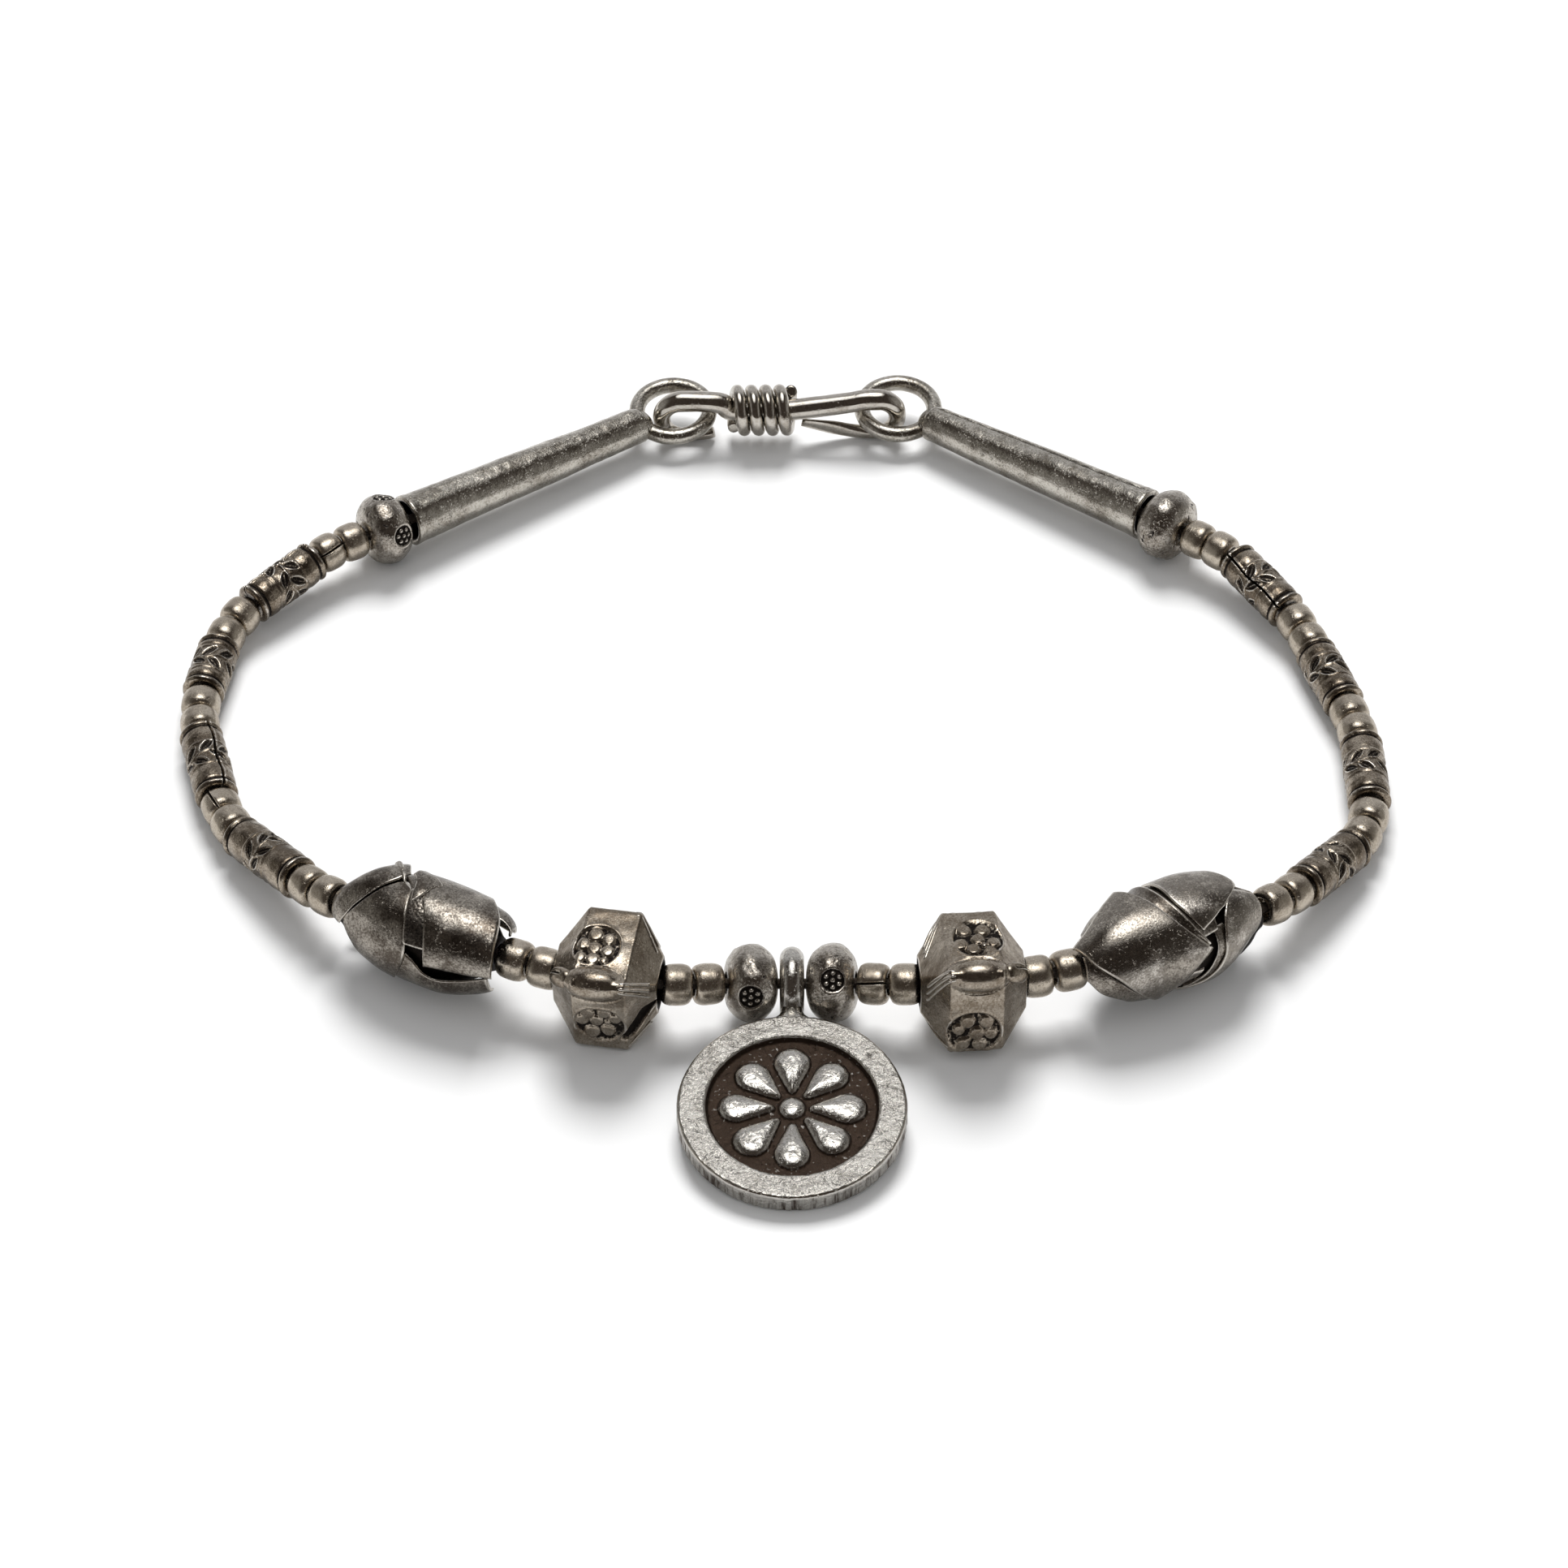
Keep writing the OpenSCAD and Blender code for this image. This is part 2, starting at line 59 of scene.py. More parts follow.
RING_MEAN_R = 2.375
RING_WIRE_R = 0.525
RING_BEYOND = 2.6
RING_TILT = 8
LINK_WIRE_R = 0.7
WRAP_WIRE_R = 0.425
WRAP_TURNS = 4.4

# From the bail outwards: kind, length, heading away from the front line and roll, both in degrees
LEFT = [
    ("round_bead", 2.85, -7, 8), ("spacer_bead", 1.6, -12, 0), ("spacer_bead", 1.6, -7, 0),
    ("faceted_bead", 5.2, 10, -98), ("spacer_bead", 1.65, 19, 0), ("spacer_bead", 1.65, 24, 0),
    ("woven_bead", 10.1, 24.5, 0), ("spacer_bead", 1.55, 40, 0), ("spacer_bead", 1.55, 48, 0),
    ("engraved_tube", 6.4, 51, 150), ("spacer_bead", 1.55, 61, 0), ("spacer_bead", 1.55, 68, 20),
    ("engraved_tube", 5.8, 75, 25), ("spacer_bead", 1.55, 82, 0), ("spacer_bead", 1.55, 89, 0),
    ("engraved_tube", 4.4, 98, 200), ("spacer_bead", 1.55, 107, 0), ("spacer_bead", 1.55, 119, 0),
    ("engraved_tube", 5.3, 133, 40), ("spacer_bead", 1.55, 141, 50), ("spacer_bead", 1.55, 146, 0),
    ("round_bead", 2.9, 148, 20), ("end_tube", 18.1, 144, 0),
]
RIGHT = [
    ("round_bead", 2.75, -7, -20), ("spacer_bead", 1.6, -11, -70), ("spacer_bead", 1.6, -6, 0),
    ("faceted_bead", 5.2, 4, -4.5), ("spacer_bead", 1.65, 11, 0), ("spacer_bead", 1.65, 19, 0),
    ("woven_bead", 11.1, 24.5, 0), ("spacer_bead", 1.55, 38, 0), ("spacer_bead", 1.55, 47, 0),
    ("engraved_tube", 5.7, 52, 200), ("spacer_bead", 1.55, 63, 0), ("spacer_bead", 1.55, 77, 0),
    ("engraved_tube", 5.5, 90, 160), ("spacer_bead", 1.55, 98, 0), ("spacer_bead", 1.55, 102, 0),
    ("engraved_tube", 5, 106, 170), ("spacer_bead", 1.55, 110, 0), ("spacer_bead", 1.55, 113, 0),
    ("engraved_tube", 5.4, 123, -45), ("spacer_bead", 1.55, 139, 0), ("spacer_bead", 1.55, 142, 0),
    ("round_bead", 2.9, 139, 0), ("end_tube", 17, 143, 0),
]

# Distance along the string from the bail, and the thread's height over the table there
THREAD_HEIGHT = np.array([
    (0, BAIL_HEIGHT), (7.5, 3.3), (27.5, 3.3), (38, 1.5), (41, 1.33), (56, 1.33), (66.5, 2.29), (70, 2.29),
    (88, 1.8),
])

# Radius of the flat end of each kind of bead
END_RADIUS = {
    "round_bead": 1.1, "spacer_bead": 0.9, "faceted_bead": 1.2, "woven_bead": 1.6,
    "engraved_tube": 1.18, "end_tube": 1.5,
}


# Small helpers for numbers

def turn(degrees, axis):
    return np.array(Matrix.Rotation(math.radians(degrees), 4, axis))


def shift(x, y, z):
    return np.array(Matrix.Translation((x, y, z)))


def ease(value, low, high):
    """0 below low, 1 above high, and smooth in between."""
    share = np.clip((value - low) / (high - low), 0, 1)
    return share * share * (3 - 2 * share)


def line_at(distance, width):
    """1 on a line and 0 away from it, where distance is the distance to the line."""
    return np.exp(-((distance / width) ** 2))


def speckle(points, size, seed):
    """Smooth uneven values from -1 to 1 over points, with lumps of the given size."""
    cells = np.asarray(points, float) / size + 17.31 * seed + 500
    base = np.floor(cells).astype(np.int64)
    inside = cells - base
    share = inside * inside * (3 - 2 * inside)
    total = 0
    for corner in range(8):
        step = np.array([corner & 1, corner >> 1 & 1, corner >> 2 & 1])
        cell = base + step
        mixed = cell[..., 0] * 73856093 ^ cell[..., 1] * 19349663 ^ cell[..., 2] * 83492791
        mixed = (mixed ^ mixed >> 13) * 1274126177 & 0x7FFFFFFF
        mixed = (mixed ^ mixed >> 16) & 0xFFFF
        total = total + (mixed / 32767.5 - 1) * np.prod(np.where(step, share, 1 - share), axis=-1)
    return total


def lumps(points, seed, *layers):
    """Uneven height from layers of lumps, each given as (height, size)."""
    return sum(height * speckle(points, size, seed + k) for k, (height, size) in enumerate(layers))


def smooth_through(knots, count):
    """A smooth run of count points through knots, along the first axis."""
    knots = np.asarray(knots, float)
    before = 2 * knots[:1] - knots[1:2]
    after = 2 * knots[-1:] - knots[-2:-1]
    padded = np.concatenate([before, knots, after])
    at = np.linspace(0, len(knots) - 1, count)
    base = np.minimum(at.astype(int), len(knots) - 2)
    f = (at - base).reshape((-1,) + (1,) * (knots.ndim - 1))
    a, b, c, d = (padded[base + k] for k in range(4))
    return b + 0.5 * f * (c - a + f * (2 * a - 5 * b + 4 * c - d + f * (3 * (b - c) + d - a)))


def smooth_net(knots, rows, columns):
    """A smooth net of points through rows of knots."""
    return smooth_through(smooth_through(knots, rows).transpose(1, 0, 2), columns).transpose(1, 0, 2)


def through_stations(stations, spacing):
    """Straight runs between stations, cut into steps of about the given spacing of their first two values."""
    rows = [np.asarray(stations[0], float)]
    for start, end in zip(stations[:-1], stations[1:]):
        start, end = np.asarray(start, float), np.asarray(end, float)
        steps = max(1, int(round(np.hypot(*(end - start)[:2]) / spacing)))
        rows += [start + (end - start) * (k + 1) / steps for k in range(steps)]
    return np.array(rows)


def angle_from(angle, at):
    """Angles measured from the angle at, up to half a turn either way."""
    return (angle - at + math.pi) % (2 * math.pi) - math.pi


def round_turn(count, crowd_at=None, crowd_half=0.15, extra=0):
    """Angles once round, with extra ones crowded round the angle crowd_at."""
    angles = np.linspace(0, 2 * math.pi, count, endpoint=False)
    if crowd_at is not None:
        away = np.abs(angle_from(angles, crowd_at))
        crowded = (crowd_at + np.linspace(-crowd_half, crowd_half, extra)) % (2 * math.pi)
        angles = np.concatenate([angles[away > crowd_half * 1.04], crowded])
    return np.sort(angles)


def from_polar(x, radius, angle):
    """Points in a bead's own axes: x along the thread, and angle from y towards z."""
    x, radius, angle = np.broadcast_arrays(x, radius, angle)
    return np.stack([x, radius * np.cos(angle), radius * np.sin(angle)], -1)


# Meshes

# How far the edge of a sheet is rubbed, and the bends at which hollows fill and edges wear, in turns per mm
EDGE_RUBBED = 0.6
HOLLOW_BEND = (2.5, 9)
EDGE_BEND = (1.4, 6)
# Puts the patterns of two pieces with different seeds apart, in millimetres
PATTERN_STEP = np.array([7.3, 3.1, 5.7])


class Form:
    """The skin of one piece in its own millimetres, with two masks over its points.

    The mask deep is over 0 in hollows and under 0 on rubbed edges; on the woven beads it also paints shade on
    the core and tucked-under panels, and brightness on the outer panels.
    The mask polished is 1 where no grain is left.
    """

    def __init__(self):
        self.points = []
        self.deep = []
        self.polished = []
        self.faces = []
        self.total = 0

    def add(self, points, faces, deep, polished):
        """Adds one closed skin and turns its faces outwards."""
        if skin_volume(points, faces) < 0:
            faces = [group[:, ::-1] for group in faces]
        self.points.append(points)
        self.deep.append(deep)
        self.polished.append(polished)
        self.faces += [group + self.total for group in faces]
        self.total += len(points)

    def net(self, points, deep=0.0, polished=0.0, closed_rows=False):
        """Adds a net of rows that close round. The rows close too, or a cap ends them."""
        rows, columns = points.shape[:2]
        masks = [(np.zeros((rows, columns)) + mask).ravel() for mask in (deep, polished)]
        index = np.arange(rows * columns).reshape(rows, columns)
        wrapped = np.hstack([index, index[:, :1]])
        if closed_rows:
            wrapped = np.vstack([wrapped, wrapped[:1]])
        faces = [net_faces(wrapped)]
        flat = points.reshape(-1, 3)
        if not closed_rows:
            flat = np.vstack([flat, flat[index[0]].mean(0), flat[index[-1]].mean(0)])
            masks = [np.append(mask, [mask[0], mask[-1]]) for mask in masks]
            first, last = wrapped[0], wrapped[-1]
            apex = np.full(columns, rows * columns)
            faces.append(np.stack([first[:-1], first[1:], apex], -1))
            faces.append(np.stack([last[1:], last[:-1], apex + 1], -1))
        self.add(flat, faces, *masks)

    def sheet(self, middle, thickness, deep=0.0):
        """Adds sheet metal of the given thickness, with rounded and rubbed edges, along a net of points."""
        rows, columns = middle.shape[:2]
        across = np.gradient(middle, axis=0)
        along = np.gradient(middle, axis=1)
        normal = np.cross(across, along)
        normal /= np.linalg.norm(normal, axis=-1, keepdims=True) + 1e-9
        far = np.cumsum(np.linalg.norm(along, axis=-1), axis=1)
        down = np.cumsum(np.linalg.norm(across, axis=-1), axis=0)
        far, down = far - far[:, :1], down - down[:1]
        edge = np.minimum(np.minimum(far, far[:, -1:] - far), np.minimum(down, down[-1:] - down))
        share = np.clip(edge / (thickness * 0.5), 0, 1)
        half = (thickness / 2 * np.sqrt(1 - (1 - share) ** 2))[..., None]
        border = np.ones((rows, columns), bool)
        border[1:-1, 1:-1] = False
        half[border] = 0
        index = np.arange(rows * columns).reshape(rows, columns)
        under = index.copy()
        within = np.arange((rows - 2) * (columns - 2)).reshape(rows - 2, columns - 2)
        under[1:-1, 1:-1] = rows * columns + within
        faces = [net_faces(index), net_faces(under)[:, ::-1]]
        over = (middle + normal * half).reshape(-1, 3)
        below = (middle - normal * half)[1:-1, 1:-1].reshape(-1, 3)
        deep = deep - EDGE_RUBBED * (1 - ease(edge, thickness * 0.3, thickness * 0.7))
        deep = np.concatenate([deep.ravel(), deep[1:-1, 1:-1].ravel()])
        self.add(np.vstack([over, below]), faces, deep, np.zeros(len(deep)))

    def dent(self, size, height, seed):
        """Presses the whole skin in and out a little, along its normals."""
        points = np.vstack(self.points)
        pressed = speckle(points, size, seed) * height
        self.points = [points + point_normals(points, self.faces) * pressed[:, None]]


def net_faces(index):
    """The four-sided faces between the points of a net, which index numbers."""
    return np.stack([index[:-1, :-1], index[1:, :-1], index[1:, 1:], index[:-1, 1:]], -1).reshape(-1, 4)


def skin_volume(points, faces):
    """Six times the volume inside a skin, or under 0 where its faces look inwards."""
    volume = 0
    for group in faces:
        a, b, c = points[group[:, 0]], points[group[:, 1]], points[group[:, 2]]
        volume += np.einsum("ij,ij->", a, np.cross(b, c))
        if group.shape[1] == 4:
            volume += np.einsum("ij,ij->", a, np.cross(c, points[group[:, 3]]))
    return volume


def point_normals(points, faces):
    """The way out of the skin at each point."""
    normal = np.zeros_like(points)
    for group in faces:
        a, b = points[group[:, 2]] - points[group[:, 0]], points[group[:, -1]] - points[group[:, 1]]
        facing = np.cross(a, b)
        for k in range(group.shape[1]):
            for axis in range(3):
                normal[:, axis] += np.bincount(group[:, k], facing[:, axis], len(points))
    return normal / (np.linalg.norm(normal, axis=1, keepdims=True) + 1e-12)


def bend_of(points, faces):
    """How sharply the skin bends at each point, in turns per mm: over 0 on edges, under 0 in hollows."""
    starts = np.concatenate([group.ravel() for group in faces])
    ends = np.concatenate([np.roll(group, -1, axis=1).ravel() for group in faces])
    count = np.bincount(starts, minlength=len(points)) + 1e-9
    gap = points[ends] - points[starts]
    reach = np.bincount(starts, np.linalg.norm(gap, axis=1), len(points)) / count
    mean = np.stack([np.bincount(starts, gap[:, axis], len(points)) / count for axis in range(3)], -1)
    bend = -2 * np.einsum("ij,ij->i", mean, point_normals(points, faces)) / (reach ** 2 + 1e-9)
    for _ in range(2):
        bend = 0.5 * bend + 0.5 * np.bincount(starts, bend[ends], len(points)) / count
    return bend


def put(name, data):
    """A new object in the scene."""
    thing = bpy.data.objects.new(name, data)
    bpy.context.scene.collection.objects.link(thing)
    return thing


def make_piece(node, form, matrix, slot, seed):
    """Turns a form into the object that stands for a CAD node, where matrix puts it."""
    points = np.vstack(form.points)
    world = (points @ matrix[:3, :3].T + matrix[:3, 3]) * MM
    corners = np.concatenate([group.ravel() for group in form.faces])
    sizes = np.concatenate([np.full(len(group), group.shape[1]) for group in form.faces])
    mesh = bpy.data.meshes.new(node + "_silver")
    mesh.vertices.add(len(points))
    mesh.vertices.foreach_set("co", world.astype(np.float32).ravel())
    mesh.loops.add(len(corners))
    mesh.loops.foreach_set("vertex_index", corners.astype(np.int32))
    mesh.polygons.add(len(sizes))
    mesh.polygons.foreach_set("loop_start", (np.cumsum(sizes) - sizes).astype(np.int32))
    mesh.update(calc_edges=True)
    mesh.shade_smooth()
    bend = bend_of(points, form.faces)
    deep = np.concatenate(form.deep)
    masks = {
        "deep": np.clip(np.maximum(deep, 0) + ease(-bend, *HOLLOW_BEND) * 0.7, 0, 1),
        "worn": np.clip(ease(bend, *EDGE_BEND) + np.maximum(-deep, 0), 0, 1),
        "polished": np.concatenate(form.polished),
    }
    for label, values in masks.items():
        mesh.attributes.new(label, "FLOAT", "POINT").data.foreach_set("value", values.astype(np.float32))
    place = mesh.attributes.new("place", "FLOAT_VECTOR", "POINT")
    place.data.foreach_set("vector", (points + PATTERN_STEP * seed).astype(np.float32).ravel())
    piece = put(node + "_silver", mesh)
    mesh.materials.append(SILVERS[slot])
    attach(piece, "root")
    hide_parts(node)


# The string: where each bead starts, as a walk from the bail

def string_places(rows, side, counts):
    """Each bead's name, kind, length and place on one side of the string."""
    places = []
    end, walked = np.array(BAIL_AT), 0.0
    for index, (kind, length, heading, roll) in enumerate(rows):
        way = np.array([side * math.cos(math.radians(heading)), math.sin(math.radians(heading))])
        if index == 0:
            space, along = FIRST_GAP, np.array([side, 0.0])
        else:
            last_kind, _, last_heading, _ = rows[index - 1]
            bend = math.tan(math.radians(abs(heading - last_heading) / 2))
            space, along = BEAD_GAP + (END_RADIUS[last_kind] + END_RADIUS[kind]) * bend, way
        start = end + along * space
        walked += space
        low, high = np.interp([walked, walked + length], THREAD_HEIGHT[:, 0], THREAD_HEIGHT[:, 1])
        rise = math.degrees(math.asin((high - low) / length))
        yaw = heading if side > 0 else 180 - heading
        matrix = shift(*start, low) @ turn(yaw, "Z") @ turn(-rise, "Y") @ turn(roll, "X")
        counts[kind] = counts.get(kind, 0) + 1
        places.append({"name": f"{kind}_{counts[kind]}", "kind": kind, "length": length, "side": side,
                       "matrix": matrix, "seed": 31 * len(places) + 7 * side + 40})
        end, walked = start + way * length, walked + length
    return places


# Beads

def bored(outline, angle, inner_steps=4):
    """A bead's rows of x and radius, round its outline and back along its bore.

    Also says which rows are outside, and gives their points.
    """
    bore_x = np.linspace(outline[-1][0], outline[0][0], inner_steps)
    rows = np.vstack([outline, np.stack([bore_x, np.full(inner_steps, BORE_R)], -1)])
    outer = (np.arange(len(rows)) < len(outline))[:, None]
    x, radius = rows[:, :1], rows[:, 1:]
    return x, radius, outer, from_polar(x, radius, angle)


def lathed(x, radius, angle, deep):
    """The form of a bead whose rows close through its bore."""
    form = Form()
    form.net(from_polar(x, radius, angle), np.clip(deep, -1, 1), closed_rows=True)
    return form


SPACER_OVER = 0.05
SLIT_DEEP = 0.22
# Angles of the open slits that some small beads show
SLITS = {"spacer_bead_8": 42, "spacer_bead_13": 86, "spacer_bead_15": 206}


def spacer_form(length, seed, slit_at):
    """A small worn barrel with rounded shoulders, some with an open slit where its sheet meets."""
    along = np.linspace(0, 1, 22)
    barrel_r = SPACER_R * (0.72 + 0.28 * (1 - np.abs(2 * along - 1) ** 3.2) ** 0.6)
    outline = np.stack([-SPACER_OVER + along * (length + 2 * SPACER_OVER), barrel_r], -1)
    slit_at = None if slit_at is None else math.radians(slit_at)
    angle = round_turn(52, slit_at, 0.12, 12)
    x, radius, outer, base = bored(outline, angle)
    radius = radius + outer * lumps(base, seed, (0.036, 1.1), (0.01, 0.33))
    deep = 0.25 * (1 - outer)
    if slit_at is not None:
        off = (angle - slit_at) * SPACER_R + 0.1 * (x - length / 2)
        cut = outer * line_at(off, 0.055)
        radius = radius - SLIT_DEEP * cut + 0.05 * outer * line_at(off - 0.12, 0.05)
        deep = deep + cut
    return lathed(x, radius, angle, deep)


# Angles of the punches round each round bead, and how far they sit off its girth
STAMPS = {
    "round_bead_1": ((13, 133, 253), 0.3), "round_bead_2": ((52, 142, 232, 322), 0.4),
    "round_bead_3": ((152, 272, 32), 0.36), "round_bead_4": ((152, 230, 308), -0.2),
}
STAMP_R = 0.74
STAMP_RING_R = 0.44
STAMP_DEEP = 0.16


def round_form(length, seed, stamps, off_girth):
    """A ring-shaped bead, pitted, with round punches of seven dots round its girth."""
    tube_r, middle_r = length / 2, ROUND_R - length / 2
    swing = np.radians(np.linspace(-96, 96, 70))
    outline = np.stack([length / 2 + tube_r * np.sin(swing), middle_r + tube_r * np.cos(swing)], -1)
    angle = round_turn(180)
    x, radius, outer, base = bored(outline, angle)
    pits = ease(speckle(base, 0.17, seed + 2), 0.3, 0.75) * ease(speckle(base, 1.0, seed + 3), -0.35, 0.35)
    lift = lumps(base, seed, (0.07, 1.2), (0.035, 0.45)) - 0.05 * pits
    deep = 0.75 * pits
    off_field = 9.0
    girth = np.concatenate([swing * tube_r, np.full(len(x) - len(swing), off_field)])[:, None]
    for k, stamp in enumerate(stamps):
        round_by = angle_from(angle, math.radians(stamp)) * (radius + 0.05)
        aside = girth - off_girth
        away = np.hypot(round_by, aside)
        sunk = 1 - ease(away, STAMP_R - 0.09, STAMP_R + 0.02)
        dots = stamp_dots(round_by, aside, math.radians(17 * k))
        lip = line_at(away - STAMP_R - 0.05, 0.07)
        lift = lift * (1 - 0.8 * sunk) - STAMP_DEEP * sunk * (1 - 0.8 * dots) + 0.025 * lip
        deep = np.maximum(deep * (1 - sunk), sunk * (1 - dots))
    return lathed(x, radius + np.where(outer, lift, 0), angle, np.where(outer, deep, 0.5))


def stamp_dots(round_by, aside, turned):
    """A punch's dot in the middle and six round it."""
    dots = np.zeros(np.broadcast_shapes(round_by.shape, aside.shape))
    for dot in range(7):
        ring = 0.0 if dot == 0 else STAMP_RING_R
        way = turned + math.radians(60 * dot)
        near = np.hypot(round_by - ring * math.cos(way), aside - ring * math.sin(way))
        dots = np.maximum(dots, 1 - ease(near, 0.07, 0.19))
    return dots


# Angles of the seams that do not lie on top of their tube; one tube shows none
SEAMS = {"engraved_tube_4": 27, "engraved_tube_7": None}
SEAM_DEEP = 0.3
LEAVES = 7
LEAF_LONG = 1.3
LEAF_HALF = 0.27
LEAF_DEEP = 0.1
LEAF_RIM = 0.06
STEM_WAVES = 3
STEM_SWING = 0.17
STEM_HIGH = 0.07


def stem_at(girth, around):
    """Where the winding stem lies along the tube, at a distance round it."""
    return STEM_SWING * np.sin(girth * 2 * math.pi * STEM_WAVES / around)


def vine(x, girth, around):
    """Height over the skin of a tube, and depth, for a winding stem with sunken leaves on both sides."""
    stem = STEM_HIGH * line_at(x - stem_at(girth, around), 0.07)
    pits = np.zeros_like(stem)
    rims = np.zeros_like(stem)
    for side in (1, -1):
        for k in range(LEAVES):
            root = (k + (0.15 if side > 0 else 0.65)) * around / LEAVES
            lean = math.radians(36 + 7 * math.sin(2.3 * k + side))
            beside = side * (x - stem_at(root, around)) - 0.08
            off = (girth - root + around / 2) % around - around / 2
            along = (off * math.cos(lean) + beside * math.sin(lean)) / LEAF_LONG
            across = np.abs(beside * math.cos(lean) - off * math.sin(lean))
            inside = (along > 0) & (along < 1)
            wide = LEAF_HALF * np.sin(math.pi * np.clip(along, 0, 1)) ** 0.75
            pits = np.maximum(pits, inside * ease(wide - across, 0.0, 0.09))
            rims = np.maximum(rims, inside * line_at(across - wide - 0.04, 0.05))
            pits = pits * (1 - 0.6 * inside * line_at(across, 0.045))
    return np.maximum(stem, LEAF_RIM * rims) * (1 - pits) - LEAF_DEEP * pits, pits


def tube_section(zone):
    """Rows of distance from the nearer end and height over the skin: rim, groove and band, up to the vine."""
    return np.array([
        (0, -0.2), (0.04, -0.08), (0.12, -0.01), (0.2, 0), (0.31, -0.02), (0.38, -0.13), (0.47, -0.17),
        (0.55, -0.1), (0.62, -0.045), (0.62 + (zone - 0.75) / 2, 0.0), (zone - 0.13, -0.05),
        (zone - 0.06, -0.075), (zone, 0.0), (zone + 0.07, 0.0), (zone + 0.14, -0.055), (zone + 1.1, -0.05),
    ])


def engraved_form(length, seed, seam):
    """A rolled tube: a rim and a groove at each end, plain bands, and a vine round the middle."""
    along = through_stations([(0, 0), (0.9, 0), (length - 0.9, 0), (length, 0)], 0.064)[:, 0]
    zone = length / 2 - 1.02
    section = tube_section(zone)
    lift = np.interp(np.minimum(along, length - along), section[:, 0], section[:, 1])
    lift = np.convolve(np.pad(lift, 1, mode="edge"), [0.25, 0.5, 0.25], "valid")
    seam_at = math.radians(seam or 90)
    angle = round_turn(132, seam_at, 0.16, 16)
    x, radius, outer, base = bored(np.stack([along, TUBE_R + lift], -1), angle, 5)
    around = 2 * math.pi * TUBE_R
    girth = np.broadcast_to(angle * TUBE_R, base.shape[:2])
    wobble = 0.1 * speckle(base, 1.7, seed + 5)
    height, pits = vine(x - length / 2 + wobble, (girth + seed * 1.37) % around, around)
    end = np.minimum(x, length - x)
    in_zone = ease(end, zone + 0.02, zone + 0.14)
    ring_marks = speckle(base * np.array([1.0, 0.12, 0.12]), 0.16, seed + 2)
    lift = in_zone * height + lumps(base, seed, (0.022, 0.9), (0.01, 0.28))
    lift = lift + 0.006 * ring_marks * (1 - in_zone)
    groove = ease(end, 0.34, 0.42) * (1 - ease(end, 0.5, 0.6))
    ground = (in_zone > 0.5) * (1 - ease(height, -0.01, 0.04))
    deep = np.maximum(0.42 * in_zone * pits, 0.9 * groove) + 0.3 * ground
    if seam is not None:
        off = (angle - seam_at) * TUBE_R + 0.06 * np.sin(x * 1.9 + seed)
        cut = line_at(off, 0.05)
        lift = lift - SEAM_DEEP * cut + 0.05 * line_at(off - 0.13, 0.06) + 0.02 * line_at(off + 0.13, 0.05)
        deep = np.maximum(deep, cut)
    return lathed(x, radius + outer * lift, angle, np.where(outer, deep, 0.6))


# Stamped fields of a faceted bead. Places are measured on a face: along the string, away from the bail,
# from the bead's middle, and across the face from the ridge. The last value of a dot is its size.
LEFT_TOP = {"at": (0.55, 2.9), "half": (1.36, 1.45), "flat": -1.36, "dots": [
    (0.75, 3.76, 1.08), (-0.05, 3.5, 0.98), (1.36, 3.0, 1), (0.66, 2.8, 1), (-0.12, 2.66, 0.95),
    (1.38, 2.05, 0.9), (0.62, 2.0, 0.98), (-0.02, 1.95, 0.6)]}
LEFT_FRONT = {"at": (0.0, 3.5), "half": (1.45, 1.5), "flat": -1.35, "dots": [
    (0.69, 2.65, 1), (-0.27, 2.48, 1), (1.04, 3.33, 1), (0.2, 3.28, 1), (-0.9, 2.92, 0.9), (0.48, 4.35, 1.1),
    (-0.45, 4.05, 1.05), (-0.46, 3.3, 0.45)]}
RIGHT_TOP = {"at": (0.34, 3.22), "half": (1.45, 1.6), "flat": -1.5, "dots": [
    (-0.38, 4.07, 1.05), (0.65, 4.05, 1.05), (0.34, 3.22, 1), (1.2, 2.9, 0.95), (-0.66, 2.85, 1.05),
    (0.0, 2.36, 1), (0.95, 2.1, 0.95), (0.65, 2.66, 0.45)]}
RIGHT_FRONT = {"at": (-0.13, 4.3), "half": (1.55, 1.5), "flat": 1.4, "dots": [
    (-0.48, 3.52, 1.05), (0.59, 3.6, 1.05), (-0.99, 4.09, 0.9), (0.05, 4.42, 1.05), (0.84, 4.44, 0.95),
    (-0.76, 5.16, 1.0), (0.21, 5.25, 1.0), (-0.4, 4.8, 0.4)]}
FIELD_DEEP = 0.19
DOT_HALF = (0.43, 0.49)
GRAIN_DEEP = 0.03
FACE_HOLLOW = 0.1
GASH_DEEP = 0.34
FLAP_HIGH = 0.09
RIDGE_AT = 135
POD_R = 0.95
POD_HALF = 2.0
POD_RUBBED = 0.75


def squared(angle, half, cut):
    """Radius of a square section with cut corners, by the angle from the middle of a side."""
    quarter = math.pi / 2
    to_side = half / np.cos((angle + quarter / 2) % quarter - quarter / 2)
    to_corner = (2 * half - cut) / math.sqrt(2) / np.cos(angle % quarter - quarter / 2)
    sharp = 20.0
    return -np.log(np.exp(-sharp * to_side) + np.exp(-sharp * to_corner)) / sharp


